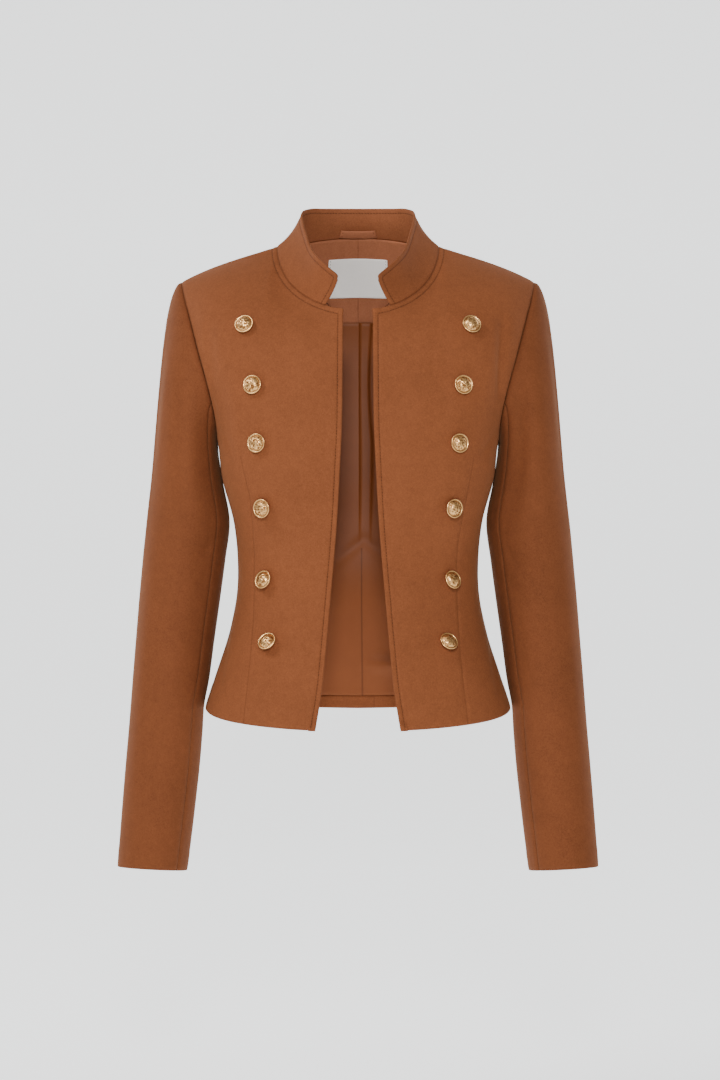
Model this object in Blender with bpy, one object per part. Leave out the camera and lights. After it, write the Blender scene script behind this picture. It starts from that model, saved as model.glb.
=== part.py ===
"""Stand collar blazer, hollow and filled out as it is worn, with an open front.

X runs to the wearer's left, the front faces -Y and Z is up. The origin lies on the
centre line between the two points where the shoulder seams meet the neck, 4 mm lower.
Sizes are millimetres, turned into metres where a mesh is made. Every piece is worked
out for the wearer's left, +X, and mirrored for the right.
"""
import math

import bpy
import numpy as np

MM = 0.001
SHORT_STEP = 0.004
SMALLEST = 1e-9

# Cloth
CLOTH = 2.0
LINING_CLOTH = 1.0
SEAM_GAP = 0.3
COLLAR_GAP = 0.8
FRONT = -1
BACK = 1

# Neck seam: an ellipse in plan, in a sloping plane in front and rising behind
NECK_HALF_WIDTH = 87.5
NECK_FRONT_DEPTH = 89.0
NECK_BACK_DEPTH = 62.0
NECK_FRONT_SLOPE = 0.825
NECK_BACK_RISE = 21.0
NECK_SHOULDER_RISE = 4.2
NECK_RISE_SHARPNESS = 10
NECK_CORNER_X = 16.2
COLLAR_END_X = 35.0

# Shoulder seam and armhole
TIP_X = 190.6
TIP_Y = 5.0
TIP_Z = -34.5
SHOULDER_CROWN = 5.0
SHOULDER_CROWN_POWER = 1.6
UNDERARM_Z = -205.0
CHEST_Z = -119.0
ARMHOLE_FRONT_REACH = 57.0
ARMHOLE_BACK_REACH = 60.0
ARMHOLE_EGG = 0.27

# Hem heights
HEM_SIDE_Z = -490.0
HEM_FRONT_Z = -510.0
HEM_BACK_Z = -501.5
HEM_SWEEP = 1.4

# Grid of the body panels
FRONT_COLUMNS = 16
BACK_COLUMNS = 16
NECK_COLUMNS = {FRONT: 7, BACK: 7}
LOW_ROWS = 13
MID_ROWS = 5
TOP_ROWS = 6
ROWS = LOW_ROWS + MID_ROWS + TOP_ROWS
CHEST_ROW = LOW_ROWS + MID_ROWS
PATCH_FULLNESS = 1.15
NECK_LEAN = {FRONT: 0.37, BACK: 0.6}
NECK_STEP = 6.0
SHOULDER_TIP_SLOPE = 0.25

# Grid of the sleeves: a column starts at each armhole row
SLEEVE_COLUMNS = 2 * (MID_ROWS + TOP_ROWS)
CAP_ROWS = 8
ARM_ROWS = 12
BICEP_Z = -250.0
CUFF_Z = -664.7
CUFF_TILT = 0.057
CUFF_FRONT_RISE = 0.095
UNDER_SEAM_COLUMN = 8
SEAM_SWING = 0.14

# How a sleeve leaves its armhole seam
CAP_FRONT_TURN = 0.55
CAP_TOP_SLOPE = 0.22
CAP_INNER_SLOPE = 0.3
CAP_START = 0.3
CAP_END = 1.1

COLLAR_ROWS = 4
COLLAR_HOLLOW = 3.0

# Body sections from hem to underarm
BODY_COLUMNS = ("height", "half_width", "front_depth", "back_depth", "front_square", "back_square")
BODY = (
    (-530, 177.0, 115.0, 107.0, 2.3, 2.2),
    (-490, 163.5, 111.0, 103.0, 2.3, 2.2),
    (-453, 151.5, 105.0, 97.0, 2.3, 2.2),
    (-410, 138.0, 98.0, 88.5, 2.3, 2.2),
    (-367, 130.0, 95.0, 80.0, 2.3, 2.2),
    (-335, 129.5, 98.0, 79.0, 2.4, 2.2),
    (-292, 134.0, 107.0, 86.0, 2.7, 2.3),
    (-248, 145.5, 115.0, 95.0, 3.1, 2.4),
    (-205, 151.0, 117.0, 101.0, 3.2, 2.5),
    (-162, 163.0, 113.0, 104.0, 3.1, 2.5),
    (-119, 175.0, 104.0, 104.0, 3.0, 2.5),
)

# Half of the open gap between the fronts
OPENING_COLUMNS = ("height", "half_gap")
OPENING = (
    (-530, 47.0), (-510, 44.3), (-470, 38.0), (-428, 33.8), (-365, 28.2), (-323, 24.4),
    (-281, 21.3), (-238, 19.0), (-196, 17.0), (-152, 16.4), (-72, 16.2),
)

# How far out the armhole seam lies at each height
ARMHOLE_COLUMNS = ("height", "out")
ARMHOLE = (
    (-206, 151.0), (-194, 151.2), (-181, 152.6), (-162, 156.5), (-140, 162.0), (-119, 168.0),
    (-97, 174.0), (-75, 180.0), (-54, 186.0), (-34.5, 190.6),
)

# Sleeve sections below the underarm
SLEEVE_TABLE_COLUMNS = ("height", "inner", "outer", "middle_y", "half_depth")
SLEEVE = (
    (-205, 152.3, 219.0, 4.0, 62.0),
    (-250, 146.2, 223.8, 4.0, 57.0),
    (-292, 138.8, 228.6, 4.0, 52.0),
    (-335, 143.6, 232.7, 4.0, 49.0),
    (-378, 149.3, 236.5, 3.0, 47.0),
    (-421, 155.3, 239.8, 1.0, 45.5),
    (-464, 161.0, 243.0, -2.0, 44.0),
    (-490, 165.8, 244.8, -4.0, 43.3),
    (-515, 167.3, 246.6, -6.0, 42.5),
    (-551, 170.0, 249.5, -9.0, 41.5),
    (-594, 174.5, 252.7, -13.0, 40.3),
    (-637, 179.5, 255.7, -17.0, 39.0),
    (-670, 183.8, 257.8, -20.5, 38.0),
)

# Top edge of the collar, by the turn round the neck from the centre front
COLLAR_COLUMNS = ("turn", "x", "y", "z")
COLLAR = (
    (23.6, 20.8, -92.0, -38.2),
    (40.0, 39.5, -75.0, -20.5),
    (60.0, 50.5, -52.0, -4.5),
    (75.0, 56.0, -31.0, 13.5),
    (90.0, 60.5, -8.0, 31.0),
    (105.0, 61.0, 9.0, 42.0),
    (120.0, 54.0, 24.0, 47.5),
    (140.0, 38.0, 37.0, 49.5),
    (160.0, 20.0, 43.5, 50.3),
    (180.0, 0.0, 45.0, 50.5),
)

# Buttons: two rows of six
BUTTON_COLUMNS = ("x", "z", "tilt", "shank")
BUTTONS = (
    (118.0, -89.0, 0.0, 2.6),
    (108.5, -152.3, 0.0, 2.6),
    (104.0, -212.8, 4.0, 2.6),
    (98.0, -280.0, 16.0, 3.8),
    (96.5, -356.4, 22.0, 4.6),
    (93.0, -422.0, 22.0, 4.6),
)
BUTTON_SIDES = 12
BUTTON_PROFILE_COLUMNS = ("radius", "height above shank")
SHANK_RADIUS = 2.6
BUTTON_PROFILE = (
    (2.6, 0.0), (9.2, 0.4), (10.0, 1.4), (9.5, 2.4), (8.2, 2.1), (5.4, 3.4),
)
BUTTON_TOP = 4.2

# Pieces inside the back
INNER_GAP = 0.5
EDGE_GAP_ROWS = 0.02
FACING_FOOT_Z = -69.0
FACING_COLUMNS = 12
FACING_CLOTH = 1.4
LINING_COLUMNS = 15
HEM_FACING_HEIGHT = 14.0
PLEAT_START_X = 0.5
PLEAT_END_X = 13.0
PLEAT_EDGE = 2.0
PLEAT_COLUMN_WIDTH = 11.0
PLEAT_RISE = 3.0
PLEAT_FADE = 60.0
PLEAT_FOOT_Z = -319.0
LABEL_WIDTH = 66.0
LABEL_TOP_Z = -1.4
LABEL_BOTTOM_Z = -42.0
LABEL_CLOTH = 1.0
LOOP_LENGTH = 44.0
LOOP_HEIGHT = 7.5
LOOP_FOOT = 0.08
COLLAR_HEIGHT = 34.0
LOOP_CLOTH = 1.5
LOOP_STAND_OFF = 3.0
LOOP_COLUMNS = 10

# Colour, roughness and metallic of each material
FINISHES = {
    "cloth": ((0.27, 0.083, 0.028), 0.8, 0.0),
    "lining": ((0.19, 0.066, 0.029), 0.45, 0.0),
    "label": ((0.78, 0.72, 0.66), 0.7, 0.0),
    "metal": ((0.72, 0.45, 0.2), 0.32, 1.0),
}


def unit(vectors):
    """Vectors scaled to length one."""
    return vectors / np.maximum(np.linalg.norm(vectors, axis=-1, keepdims=True), SMALLEST)


def spline(knots, values, at):
    """Smooth curve through the knots, with each knot's slope taken from its neighbours."""
    knots = np.asarray(knots, float)
    values = np.asarray(values, float)
    slopes = np.gradient(values, knots)
    at = np.clip(at, knots[0], knots[-1])
    k = np.clip(np.searchsorted(knots, at) - 1, 0, len(knots) - 2)
    step = knots[k + 1] - knots[k]
    t = (at - knots[k]) / step
    start = (1 + 2 * t) * (1 - t) ** 2 * values[k] + t * (1 - t) ** 2 * step * slopes[k]
    end = t * t * (3 - 2 * t) * values[k + 1] - t * t * (1 - t) * step * slopes[k + 1]
    return start + end


def read(table, columns, name, at):
    """One named column of a table, read smoothly at any value of its first column."""
    rows = sorted(table)
    place = columns.index(name)
    return spline([row[0] for row in rows], [row[place] for row in rows], at)


def hermite(start, start_slope, end, end_slope, t):
    """Curve from start to end that leaves and arrives with the given slopes."""
    t = t[..., None]
    return ((1 + 2 * t) * (1 - t) ** 2 * start + t * (1 - t) ** 2 * start_slope
            + t * t * (3 - 2 * t) * end - t * t * (1 - t) * end_slope)


def stack(x, y, z):
    """Points from three arrays of coordinates."""
    return np.stack(np.broadcast_arrays(x, y, z), axis=-1).astype(float)


def armhole(side, gamma):
    """Armhole seam from the underarm, gamma 0, to the shoulder tip, gamma pi."""
    middle = (UNDERARM_Z + TIP_Z) / 2
    half = (TIP_Z - UNDERARM_Z) / 2
    z = middle - half * np.cos(gamma)
    reach = ARMHOLE_FRONT_REACH if side == FRONT else ARMHOLE_BACK_REACH
    rise = (z - UNDERARM_Z) / (TIP_Z - UNDERARM_Z)
    y = TIP_Y * rise + side * reach * np.sin(gamma) * (1 + ARMHOLE_EGG * np.cos(gamma))
    return stack(read(ARMHOLE, ARMHOLE_COLUMNS, "out", z), y, z)


def armhole_turn(z):
    """The gamma at which the armhole seam has height z."""
    middle = (UNDERARM_Z + TIP_Z) / 2
    half = (TIP_Z - UNDERARM_Z) / 2
    return np.arccos(np.clip((middle - z) / half, -1, 1))


def section(side, z):
    """Half width, depth and squareness of the body's section at height z."""
    name = "front" if side == FRONT else "back"
    depth = read(BODY, BODY_COLUMNS, name + "_depth", z)
    square = read(BODY, BODY_COLUMNS, name + "_square", z)
    seam = armhole(side, armhole_turn(z))
    inside = 1 - np.minimum(np.abs(seam[..., 1]) / depth, 0.99) ** square
    above = seam[..., 0] / inside ** (1 / square)
    half_width = np.where(z > UNDERARM_Z, above, read(BODY, BODY_COLUMNS, "half_width", z))
    return half_width, depth, square


def turn_of(x, half_width, square):
    """Angle round a section, from its centre, at which it is x wide."""
    share = np.minimum(np.abs(x) / half_width, 1 - SMALLEST) ** square
    return np.arctan((share / (1 - share)) ** (1 / square))


def section_point(side, turn, z):
    """Point of the body's section at height z and an angle from its centre."""
    half_width, depth, square = section(side, z)
    size = (np.sin(turn) ** square + np.maximum(np.cos(turn), 0) ** square) ** (1 / square)
    return stack(half_width * np.sin(turn) / size, side * depth * np.cos(turn) / size, z)


def side_turn(side, z):
    """Angle at which a row ends: at the side seam, or at the armhole above it."""
    half_width, _, square = section(side, z)
    out = armhole(side, armhole_turn(z))[..., 0]
    return np.where(z > UNDERARM_Z, turn_of(out, half_width, square), math.pi / 2)


def centre_turn(side, z):
    """Angle at which a row starts: the front edge, or the centre back."""
    if side == BACK:
        return np.zeros_like(z)
    half_width, _, square = section(side, z)
    return turn_of(read(OPENING, OPENING_COLUMNS, "half_gap", z), half_width, square)


def row_point(side, u, z_centre, z_side, z):
    """Point at share u of a row that runs from one height at the centre to another at the side."""
    start = centre_turn(side, z_centre)
    turn = start + (side_turn(side, z_side) - start) * u
    return section_point(side, turn, z)


def neck_point(turn):
    """Neck seam at a turn in degrees from the centre front, 0, to the centre back, 180."""
    turn = np.radians(turn)
    across = np.cos(turn)
    y = np.where(across > 0, -NECK_FRONT_DEPTH * across, -NECK_BACK_DEPTH * across)
    rise = NECK_BACK_RISE * np.maximum(-across, 0) ** 1.5
    z = np.where(across > 0, NECK_FRONT_SLOPE * y, rise)
    z = z + NECK_SHOULDER_RISE * np.sin(turn) ** NECK_RISE_SHARPNESS
    return stack(NECK_HALF_WIDTH * np.sin(turn), y, z)


def neck_turn_of(x):
    """Turn in degrees at which the front neck seam is x from the centre."""
    return math.degrees(math.asin(x / NECK_HALF_WIDTH))


def neck_turn(side, share):
    """Turn along the neck seam, from the centre to the shoulder seam, of a body panel's top."""
    if side == BACK:
        return 180 - 90 * share
    knots = (0, 1 / NECK_COLUMNS[FRONT], 1)
    return np.interp(share, knots, (neck_turn_of(NECK_CORNER_X), neck_turn_of(COLLAR_END_X), 90))


def neck_share(side):
    """Share of a panel's top row that is neck seam."""
    columns = FRONT_COLUMNS if side == FRONT else BACK_COLUMNS
    return NECK_COLUMNS[side] / columns


def shoulder_point(share):
    """Shoulder seam from the neck to the shoulder tip, crowned a little."""
    crown = SHOULDER_CROWN * 4 * share ** SHOULDER_CROWN_POWER * (1 - share)
    z = NECK_SHOULDER_RISE + (TIP_Z - NECK_SHOULDER_RISE) * share + crown
    return stack(NECK_HALF_WIDTH + (TIP_X - NECK_HALF_WIDTH) * share, TIP_Y * share, z)


def top_point(side, u):
    """Top row of a body panel: the neck seam, then the shoulder seam."""
    split = neck_share(side)
    neck = neck_point(neck_turn(side, np.clip(u / split, 0, 1)))
    shoulder = shoulder_point(np.clip((u - split) / (1 - split), 0, 1))
    return np.where((u < split)[..., None], neck, shoulder)


def neck_along(side, turn):
    """Direction of the neck seam towards the shoulder seam, taken over a few degrees."""
    ahead = np.maximum(turn - side * NECK_STEP, 90) if side == BACK else np.minimum(turn + NECK_STEP, 90)
    return unit(neck_point(ahead) - neck_point(turn + side * NECK_STEP))


def top_normal(side, u):
    """Normal of the cloth along a panel's top row."""
    split = neck_share(side)
    share = np.clip(u / split, 0, 1)
    centre = unit(stack(0 * u, -side * NECK_LEAN[side], 1))
    shoulder = unit(stack(TIP_X - NECK_HALF_WIDTH, 0 * u, TIP_Z - NECK_SHOULDER_RISE))
    across = unit(centre * (1 - share)[..., None] - shoulder * share[..., None])
    neck = side * np.cross(neck_along(side, neck_turn(side, share)), across)
    down = np.clip((u - split) / (1 - split), 0, 1)
    first = neck_along(side, 90 + 0 * u)
    last = unit(stack(0 * u, -side, SHOULDER_TIP_SLOPE))
    along = unit(first + (last - first) * (down * (2 - down))[..., None])
    top = -side * np.cross(shoulder, along)
    return unit(np.where((u < split)[..., None], -neck, top))


def hem_height(side, u):
    """Height of the hem across a panel."""
    centre = HEM_FRONT_Z if side == FRONT else HEM_BACK_Z
    return centre + (HEM_SIDE_Z - centre) * u ** HEM_SWEEP


def arrival(way, normal):
    """A way laid into the plane across a normal."""
    return unit(way - normal * np.sum(way * normal, axis=-1, keepdims=True))


def low_point(side, u, row):
    """Body below the underarm."""
    share = row / LOW_ROWS
    def height(at):
        hem = hem_height(side, at)
        return hem + (UNDERARM_Z - hem) * share
    return row_point(side, u, height(0 * u), height(0 * u + 1), height(u))


def mid_point(side, u, row):
    """Body from the underarm to the chest, where the rows end at the armhole."""
    share = (row - LOW_ROWS) / MID_ROWS
    even = UNDERARM_Z + (CHEST_Z - UNDERARM_Z) * share
    seam = armhole(side, armhole_turn(CHEST_Z) * share)[..., 2]
    return row_point(side, u, even, seam, even + (seam - even) * u ** 3)


def patch_point(side, u, row):
    """Body from the chest over to the neck and shoulder seams."""
    t = (row - CHEST_ROW) / TOP_ROWS
    level = CHEST_Z + 0 * u
    lower = level - 1.0
    foot = row_point(side, u, level, level, level)
    rise = unit(foot - row_point(side, u, lower, lower, lower))
    top = top_point(side, u)
    reach = PATCH_FULLNESS * np.linalg.norm(top - foot, axis=-1, keepdims=True)
    sheet = hermite(foot, rise * reach, top, arrival(top - foot, top_normal(side, u)) * reach, t)
    one = 0 * u + 1
    edge_foot = row_point(side, one, level, level, level)
    edge_rise = unit(edge_foot - row_point(side, one, lower, lower, lower))
    edge_top = top_point(side, one)
    edge_reach = PATCH_FULLNESS * np.linalg.norm(edge_top - edge_foot, axis=-1, keepdims=True)
    edge_end = arrival(edge_top - edge_foot, top_normal(side, one))
    edge = hermite(edge_foot, edge_rise * edge_reach, edge_top, edge_end * edge_reach, t)
    start = armhole_turn(CHEST_Z)
    seam = armhole(side, start + (math.pi - start) * t)
    return sheet + (seam - edge) * (u ** 5)[..., None]


def body_point(side, u, row):
    """Outer surface of a body panel: u across from the centre, row up from the hem."""
    u, row = np.broadcast_arrays(np.asarray(u, float), np.asarray(row, float))
    low = low_point(side, u, np.clip(row, 0, LOW_ROWS))
    mid = mid_point(side, u, np.clip(row, LOW_ROWS, CHEST_ROW))
    top = patch_point(side, u, np.clip(row, CHEST_ROW, ROWS))
    part = row[..., None]
    return np.where(part <= LOW_ROWS, low, np.where(part <= CHEST_ROW, mid, top))


def body_normal(side, u, row):
    """Outward normal of a body panel."""
    u, row = np.broadcast_arrays(np.asarray(u, float), np.asarray(row, float))
    before, after = np.maximum(u - SHORT_STEP, 0), np.minimum(u + SHORT_STEP, 1)
    across = body_point(side, after, row) - body_point(side, before, row)
    below, above = np.maximum(row - SHORT_STEP, 0), np.minimum(row + SHORT_STEP, ROWS)
    up = body_point(side, u, above) - body_point(side, u, below)
    return -side * unit(np.cross(across, up))


def body_place(side, x, z):
    """The u and row at which a body panel passes through x and z, by Newton's steps."""
    x, z = np.broadcast_arrays(np.asarray(x, float), np.asarray(z, float))
    u = np.clip(x / 150, 0.02, 0.95)
    row = np.clip((z - HEM_FRONT_Z) / (CHEST_Z - HEM_FRONT_Z) * CHEST_ROW, 0.5, ROWS - 0.5)
    e = 0.01
    for _ in range(30):
        here = body_point(side, u, row)
        du = (body_point(side, u + e, row) - here) / e
        dr = (body_point(side, u, row + e) - here) / e
        miss_x = x - here[..., 0]
        miss_z = z - here[..., 2]
        size = du[..., 0] * dr[..., 2] - du[..., 2] * dr[..., 0]
        u = np.clip(u + (miss_x * dr[..., 2] - miss_z * dr[..., 0]) / size, 0, 0.98)
        row = np.clip(row + (miss_z * du[..., 0] - miss_x * du[..., 2]) / size, 0, ROWS - 0.02)
    return u, row


def sleeve_ring(alpha, z):
    """Sleeve section at height z; alpha runs from the outer side, 0, through the front."""
    inner = read(SLEEVE, SLEEVE_TABLE_COLUMNS, "inner", z)
    outer = read(SLEEVE, SLEEVE_TABLE_COLUMNS, "outer", z)
    middle_y = read(SLEEVE, SLEEVE_TABLE_COLUMNS, "middle_y", z)
    half_depth = read(SLEEVE, SLEEVE_TABLE_COLUMNS, "half_depth", z)
    x = (inner + outer) / 2 + (outer - inner) / 2 * np.cos(alpha)
    y = middle_y - half_depth * np.sin(alpha)
    drop = np.clip((z - BICEP_Z) / (CUFF_Z - BICEP_Z), 0, 1)
    tilt = CUFF_TILT * (x - (inner + outer) / 2) + CUFF_FRONT_RISE * (middle_y - y)
    return stack(x, y, z + drop * tilt)


def armhole_loop(column):
    """Armhole seam at a sleeve column: the tip, down the front, the underarm, up the back."""
    half = SLEEVE_COLUMNS / 2
    fall = np.where(column <= half, column, 2 * half - column)
    start = armhole_turn(CHEST_Z)
    upper = math.pi - (math.pi - start) * fall / TOP_ROWS
    lower = start * (half - fall) / MID_ROWS
    gamma = np.where(fall <= TOP_ROWS, upper, lower)
    return np.where((column <= half)[..., None], armhole(FRONT, gamma), armhole(BACK, gamma))


def sleeve_point(column, row):
    """Outer surface of a sleeve: column round from the shoulder tip, row down from the armhole."""
    column, row = np.broadcast_arrays(np.asarray(column, float), np.asarray(row, float))
    column = np.mod(column, SLEEVE_COLUMNS)
    alpha = 2 * math.pi * column / SLEEVE_COLUMNS
    alpha = alpha - SEAM_SWING * np.sin(2 * alpha)
    seam = armhole_loop(column)
    bicep = sleeve_ring(alpha, BICEP_Z + 0 * row)
    down = unit(sleeve_ring(alpha, BICEP_Z - 1 + 0 * row) - bicep)
    fall = CAP_TOP_SLOPE + CAP_INNER_SLOPE * (1 - np.cos(alpha))
    out = unit(stack(1.0 + 0 * alpha, -CAP_FRONT_TURN * np.sin(alpha), -fall))
    reach = np.linalg.norm(bicep - seam, axis=-1, keepdims=True)
    t = np.clip(row / CAP_ROWS, 0, 1)
    cap = hermite(seam, CAP_START * reach * out, bicep, CAP_END * reach * down, t)
    z = BICEP_Z + (CUFF_Z - BICEP_Z) * np.clip((row - CAP_ROWS) / ARM_ROWS, 0, 1)
    return np.where((row <= CAP_ROWS)[..., None], cap, sleeve_ring(alpha, z))


def sleeve_normal(column, row):
    """Outward normal of a sleeve."""
    column, row = np.broadcast_arrays(np.asarray(column, float), np.asarray(row, float))
    e = 0.01
    rows = CAP_ROWS + ARM_ROWS
    around = sleeve_point(column + e, row) - sleeve_point(column - e, row)
    down = sleeve_point(column, np.minimum(row + e, rows)) - sleeve_point(column, np.maximum(row - e, 0))
    return unit(np.cross(around, down))


def collar_point(turn, share):
    """Outer surface of the collar: turn round the neck, share up from the seam to the top edge."""
    turn, share = np.broadcast_arrays(np.asarray(turn, float), np.asarray(share, float))
    foot = neck_point(turn)
    top = stack(*(read(COLLAR, COLLAR_COLUMNS, name, turn) for name in "xyz"))
    bow = np.sin(math.pi * share) * COLLAR_HOLLOW
    inward = unit(stack(-foot[..., 0], -foot[..., 1], 0 * turn))
    return foot + (top - foot) * share[..., None] + inward * bow[..., None]


def collar_normal(turn, share):
    """Outward normal of the collar."""
    turn, share = np.broadcast_arrays(np.asarray(turn, float), np.asarray(share, float))
    e = 0.2
    around = collar_point(np.minimum(turn + e, 180), share) - collar_point(turn - e, share)
    up = collar_point(turn, np.minimum(share + 0.01, 1)) - collar_point(turn, np.maximum(share - 0.01, 0))
    return unit(np.cross(around, up))


def panel(points, normals):
    """A grid of outer points with the direction of its wall at each."""
    return {"points": points, "normals": normals, "wall": normals.copy(), "shift": 0 * points}


def edge_of(piece, edge, span=slice(None)):
    """Index of an edge of a grid and of the line of points beside it."""
    if edge == "top":
        return (-1, span), (-2, span)
    if edge == "bottom":
        return (0, span), (1, span)
    if edge == "start":
        return (span, 0), (span, 1)
    return (span, -1), (span, -2)


def edge_frame(piece, place, beside):
    """Points, normals and directions into the cloth along an edge."""
    points = piece["points"][place]
    along = unit(np.gradient(points, axis=0))
    inward = piece["points"][beside] - points
    inward = unit(inward - along * np.sum(inward * along, axis=-1, keepdims=True))
    return points, piece["normals"][place], inward


def join(first, first_edge, second, second_edge, turned=False, gap=SEAM_GAP):
    """Part two pieces by the seam gap along a shared edge, and mitre their walls there."""
    a_place, a_beside = edge_of(first, *first_edge)
    b_place, b_beside = edge_of(second, *second_edge)
    _, a_normal, a_in = edge_frame(first, a_place, a_beside)
    _, b_normal, b_in = edge_frame(second, b_place, b_beside)
    if turned:
        b_normal, b_in = b_normal[::-1], b_in[::-1]
    apart = unit(b_in - a_in) * gap / 2
    agree = np.clip((np.sum(a_normal * b_normal, axis=-1, keepdims=True) + 0.3) / 0.8, 0, 1)
    first["shift"][a_place] -= apart
    first["wall"][a_place] += agree * b_normal
    if turned:
        apart, agree, a_normal = apart[::-1], agree[::-1], a_normal[::-1]
    second["shift"][b_place] += apart
    second["wall"][b_place] += agree * a_normal


def centre_edge(piece, edge):
    """Hold an edge half a seam gap from the centre line, with its wall square to it."""
    place, _ = edge_of(piece, edge)
    piece["shift"][place][..., 0] += SEAM_GAP / 2
    piece["wall"][place][..., 0] = 0


def skins(piece, thickness):
    """Outer and inner grids of a wall; a mitred corner is lengthened to keep its thickness."""
    wall = unit(piece["wall"])
    stretch = 1 / np.clip(np.sum(wall * piece["normals"], axis=-1, keepdims=True), 0.7, 1)
    piece["outer"] = piece["points"] + piece["shift"]
    piece["inner"] = piece["outer"] - thickness * stretch * wall
    return piece["outer"], piece["inner"]


def wall_mesh(name, outer, inner, finish, outward=True):
    """Closed wall between two grids of points, cut alike in a panel and in what lies on it."""
    rows, columns = outer.shape[:2]
    points = np.concatenate([outer.reshape(-1, 3), inner.reshape(-1, 3)]) * MM
    back = rows * columns
    faces = []
    for i in range(rows - 1):
        for j in range(columns - 1):
            a = i * columns + j
            b, c, d = a + 1, a + columns + 1, a + columns
            outwards = abs(points[a][0]) <= abs(points[b][0])
            halves = ((a, b, c), (a, c, d)) if outwards else ((a, b, d), (b, c, d))
            for half in halves:
                faces.append(half)
                faces.append(tuple(back + at for at in half[::-1]))
    rim = [j for j in range(columns)]
    rim += [i * columns + columns - 1 for i in range(1, rows)]
    rim += [(rows - 1) * columns + j for j in range(columns - 2, -1, -1)]
    rim += [i * columns for i in range(rows - 2, 0, -1)]
    for k, a in enumerate(rim):
        b = rim[(k + 1) % len(rim)]
        faces.append((b, a, back + a, back + b))
    if not outward:
        faces = [face[::-1] for face in faces]
    mesh = bpy.data.meshes.new(name)
    mesh.from_pydata([tuple(p) for p in points], [], faces)
    return add_object(name, mesh, finish)


def add_object(name, mesh, finish):
    """Put a mesh in the scene as its own object with its own material."""
    mesh.materials.append(material(name, finish))
    mesh.shade_smooth()
    mesh.set_sharp_from_angle(angle=math.radians(40))
    piece = bpy.data.objects.new(name, mesh)
    bpy.context.collection.objects.link(piece)
    return piece


def material(name, finish):
    """Principled material of one piece."""
    colour, roughness, metallic = FINISHES[finish]
    made = bpy.data.materials.new(name)
    made.use_nodes = True
    shader = made.node_tree.nodes["Principled BSDF"]
    shader.inputs["Base Color"].default_value = (*colour, 1.0)
    shader.inputs["Roughness"].default_value = roughness
    shader.inputs["Metallic"].default_value = metallic
    return made


def mirrored(grid):
    """The same grid on the other side of the wearer."""
    return grid * np.array([-1.0, 1.0, 1.0])


def both_sides(name, outer, inner, finish, outward=True):
    """The piece on the wearer's left and its mirror image on the right."""
    wall_mesh(name + "_left", outer, inner, finish, outward)
    wall_mesh(name + "_right", mirrored(outer), mirrored(inner), finish, not outward)


def body_panel(side, columns):
    """Grid of a front or a back."""
    u, row = np.meshgrid(np.arange(columns + 1) / columns, np.arange(ROWS + 1))
    return panel(body_point(side, u, row), body_normal(side, u, row))


def sleeve_panel(first, last):
    """Grid of a sleeve piece between two columns."""
    column, row = np.meshgrid(np.arange(first, last + 1), np.arange(CAP_ROWS + ARM_ROWS + 1))
    return panel(sleeve_point(column, row), sleeve_normal(column, row))


def collar_turns():
    """Turns of the collar's columns on one side: those of the body's neck seam."""
    front = [neck_turn(FRONT, j / NECK_COLUMNS[FRONT]) for j in range(1, NECK_COLUMNS[FRONT])]
    back = [neck_turn(BACK, j / NECK_COLUMNS[BACK]) for j in range(NECK_COLUMNS[BACK], -1, -1)]
    return np.array(front + back, float)


def make_shell():
    """Fronts, backs, sleeves and collar, joined along their seams."""
    front = body_panel(FRONT, FRONT_COLUMNS)
    back = body_panel(BACK, BACK_COLUMNS)
    upper = sleeve_panel(-UNDER_SEAM_COLUMN, UNDER_SEAM_COLUMN)
    under = sleeve_panel(UNDER_SEAM_COLUMN, SLEEVE_COLUMNS - UNDER_SEAM_COLUMN)
    turn, share = np.meshgrid(collar_turns(), np.linspace(0, 1, COLLAR_ROWS + 1))
    collar = panel(collar_point(turn, share), collar_normal(turn, share))

    join(front, ("end", slice(0, LOW_ROWS + 1)), back, ("end", slice(0, LOW_ROWS + 1)))
    join(front, ("top", slice(NECK_COLUMNS[FRONT], None)), back, ("top", slice(NECK_COLUMNS[BACK], None)))
    split = ROWS - UNDER_SEAM_COLUMN
    middle = UNDER_SEAM_COLUMN
    join(front, ("end", slice(split, ROWS + 1)), upper, ("bottom", slice(middle, None)), turned=True)
    join(back, ("end", slice(split, ROWS + 1)), upper, ("bottom", slice(0, middle + 1)))
    half = MID_ROWS + TOP_ROWS - UNDER_SEAM_COLUMN
    join(front, ("end", slice(LOW_ROWS, split + 1)), under, ("bottom", slice(0, half + 1)), turned=True)
    join(back, ("end", slice(LOW_ROWS, split + 1)), under, ("bottom", slice(half, None)))
    join(upper, ("end",), under, ("start",))
    join(upper, ("start",), under, ("end",))
    join(front, ("top", slice(1, NECK_COLUMNS[FRONT] + 1)), collar, ("bottom", slice(0, NECK_COLUMNS[FRONT])),
         gap=COLLAR_GAP)
    join(back, ("top", slice(0, NECK_COLUMNS[BACK] + 1)), collar, ("bottom", slice(NECK_COLUMNS[FRONT] - 1, None)),
         turned=True, gap=COLLAR_GAP)
    centre_edge(back, "start")

    both_sides("front", *skins(front, CLOTH), "cloth")
    both_sides("back", *skins(back, CLOTH), "cloth", outward=False)
    both_sides("sleeve_upper", *skins(upper, CLOTH), "cloth")
    both_sides("sleeve_under", *skins(under, CLOTH), "cloth")
    outer, inner = skins(collar, CLOTH)
    outer, inner = (np.concatenate([g, mirrored(g)[:, -2::-1]], axis=1) for g in (outer, inner))
    wall_mesh("collar", outer, inner, "cloth")
    return front, back, collar


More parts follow.
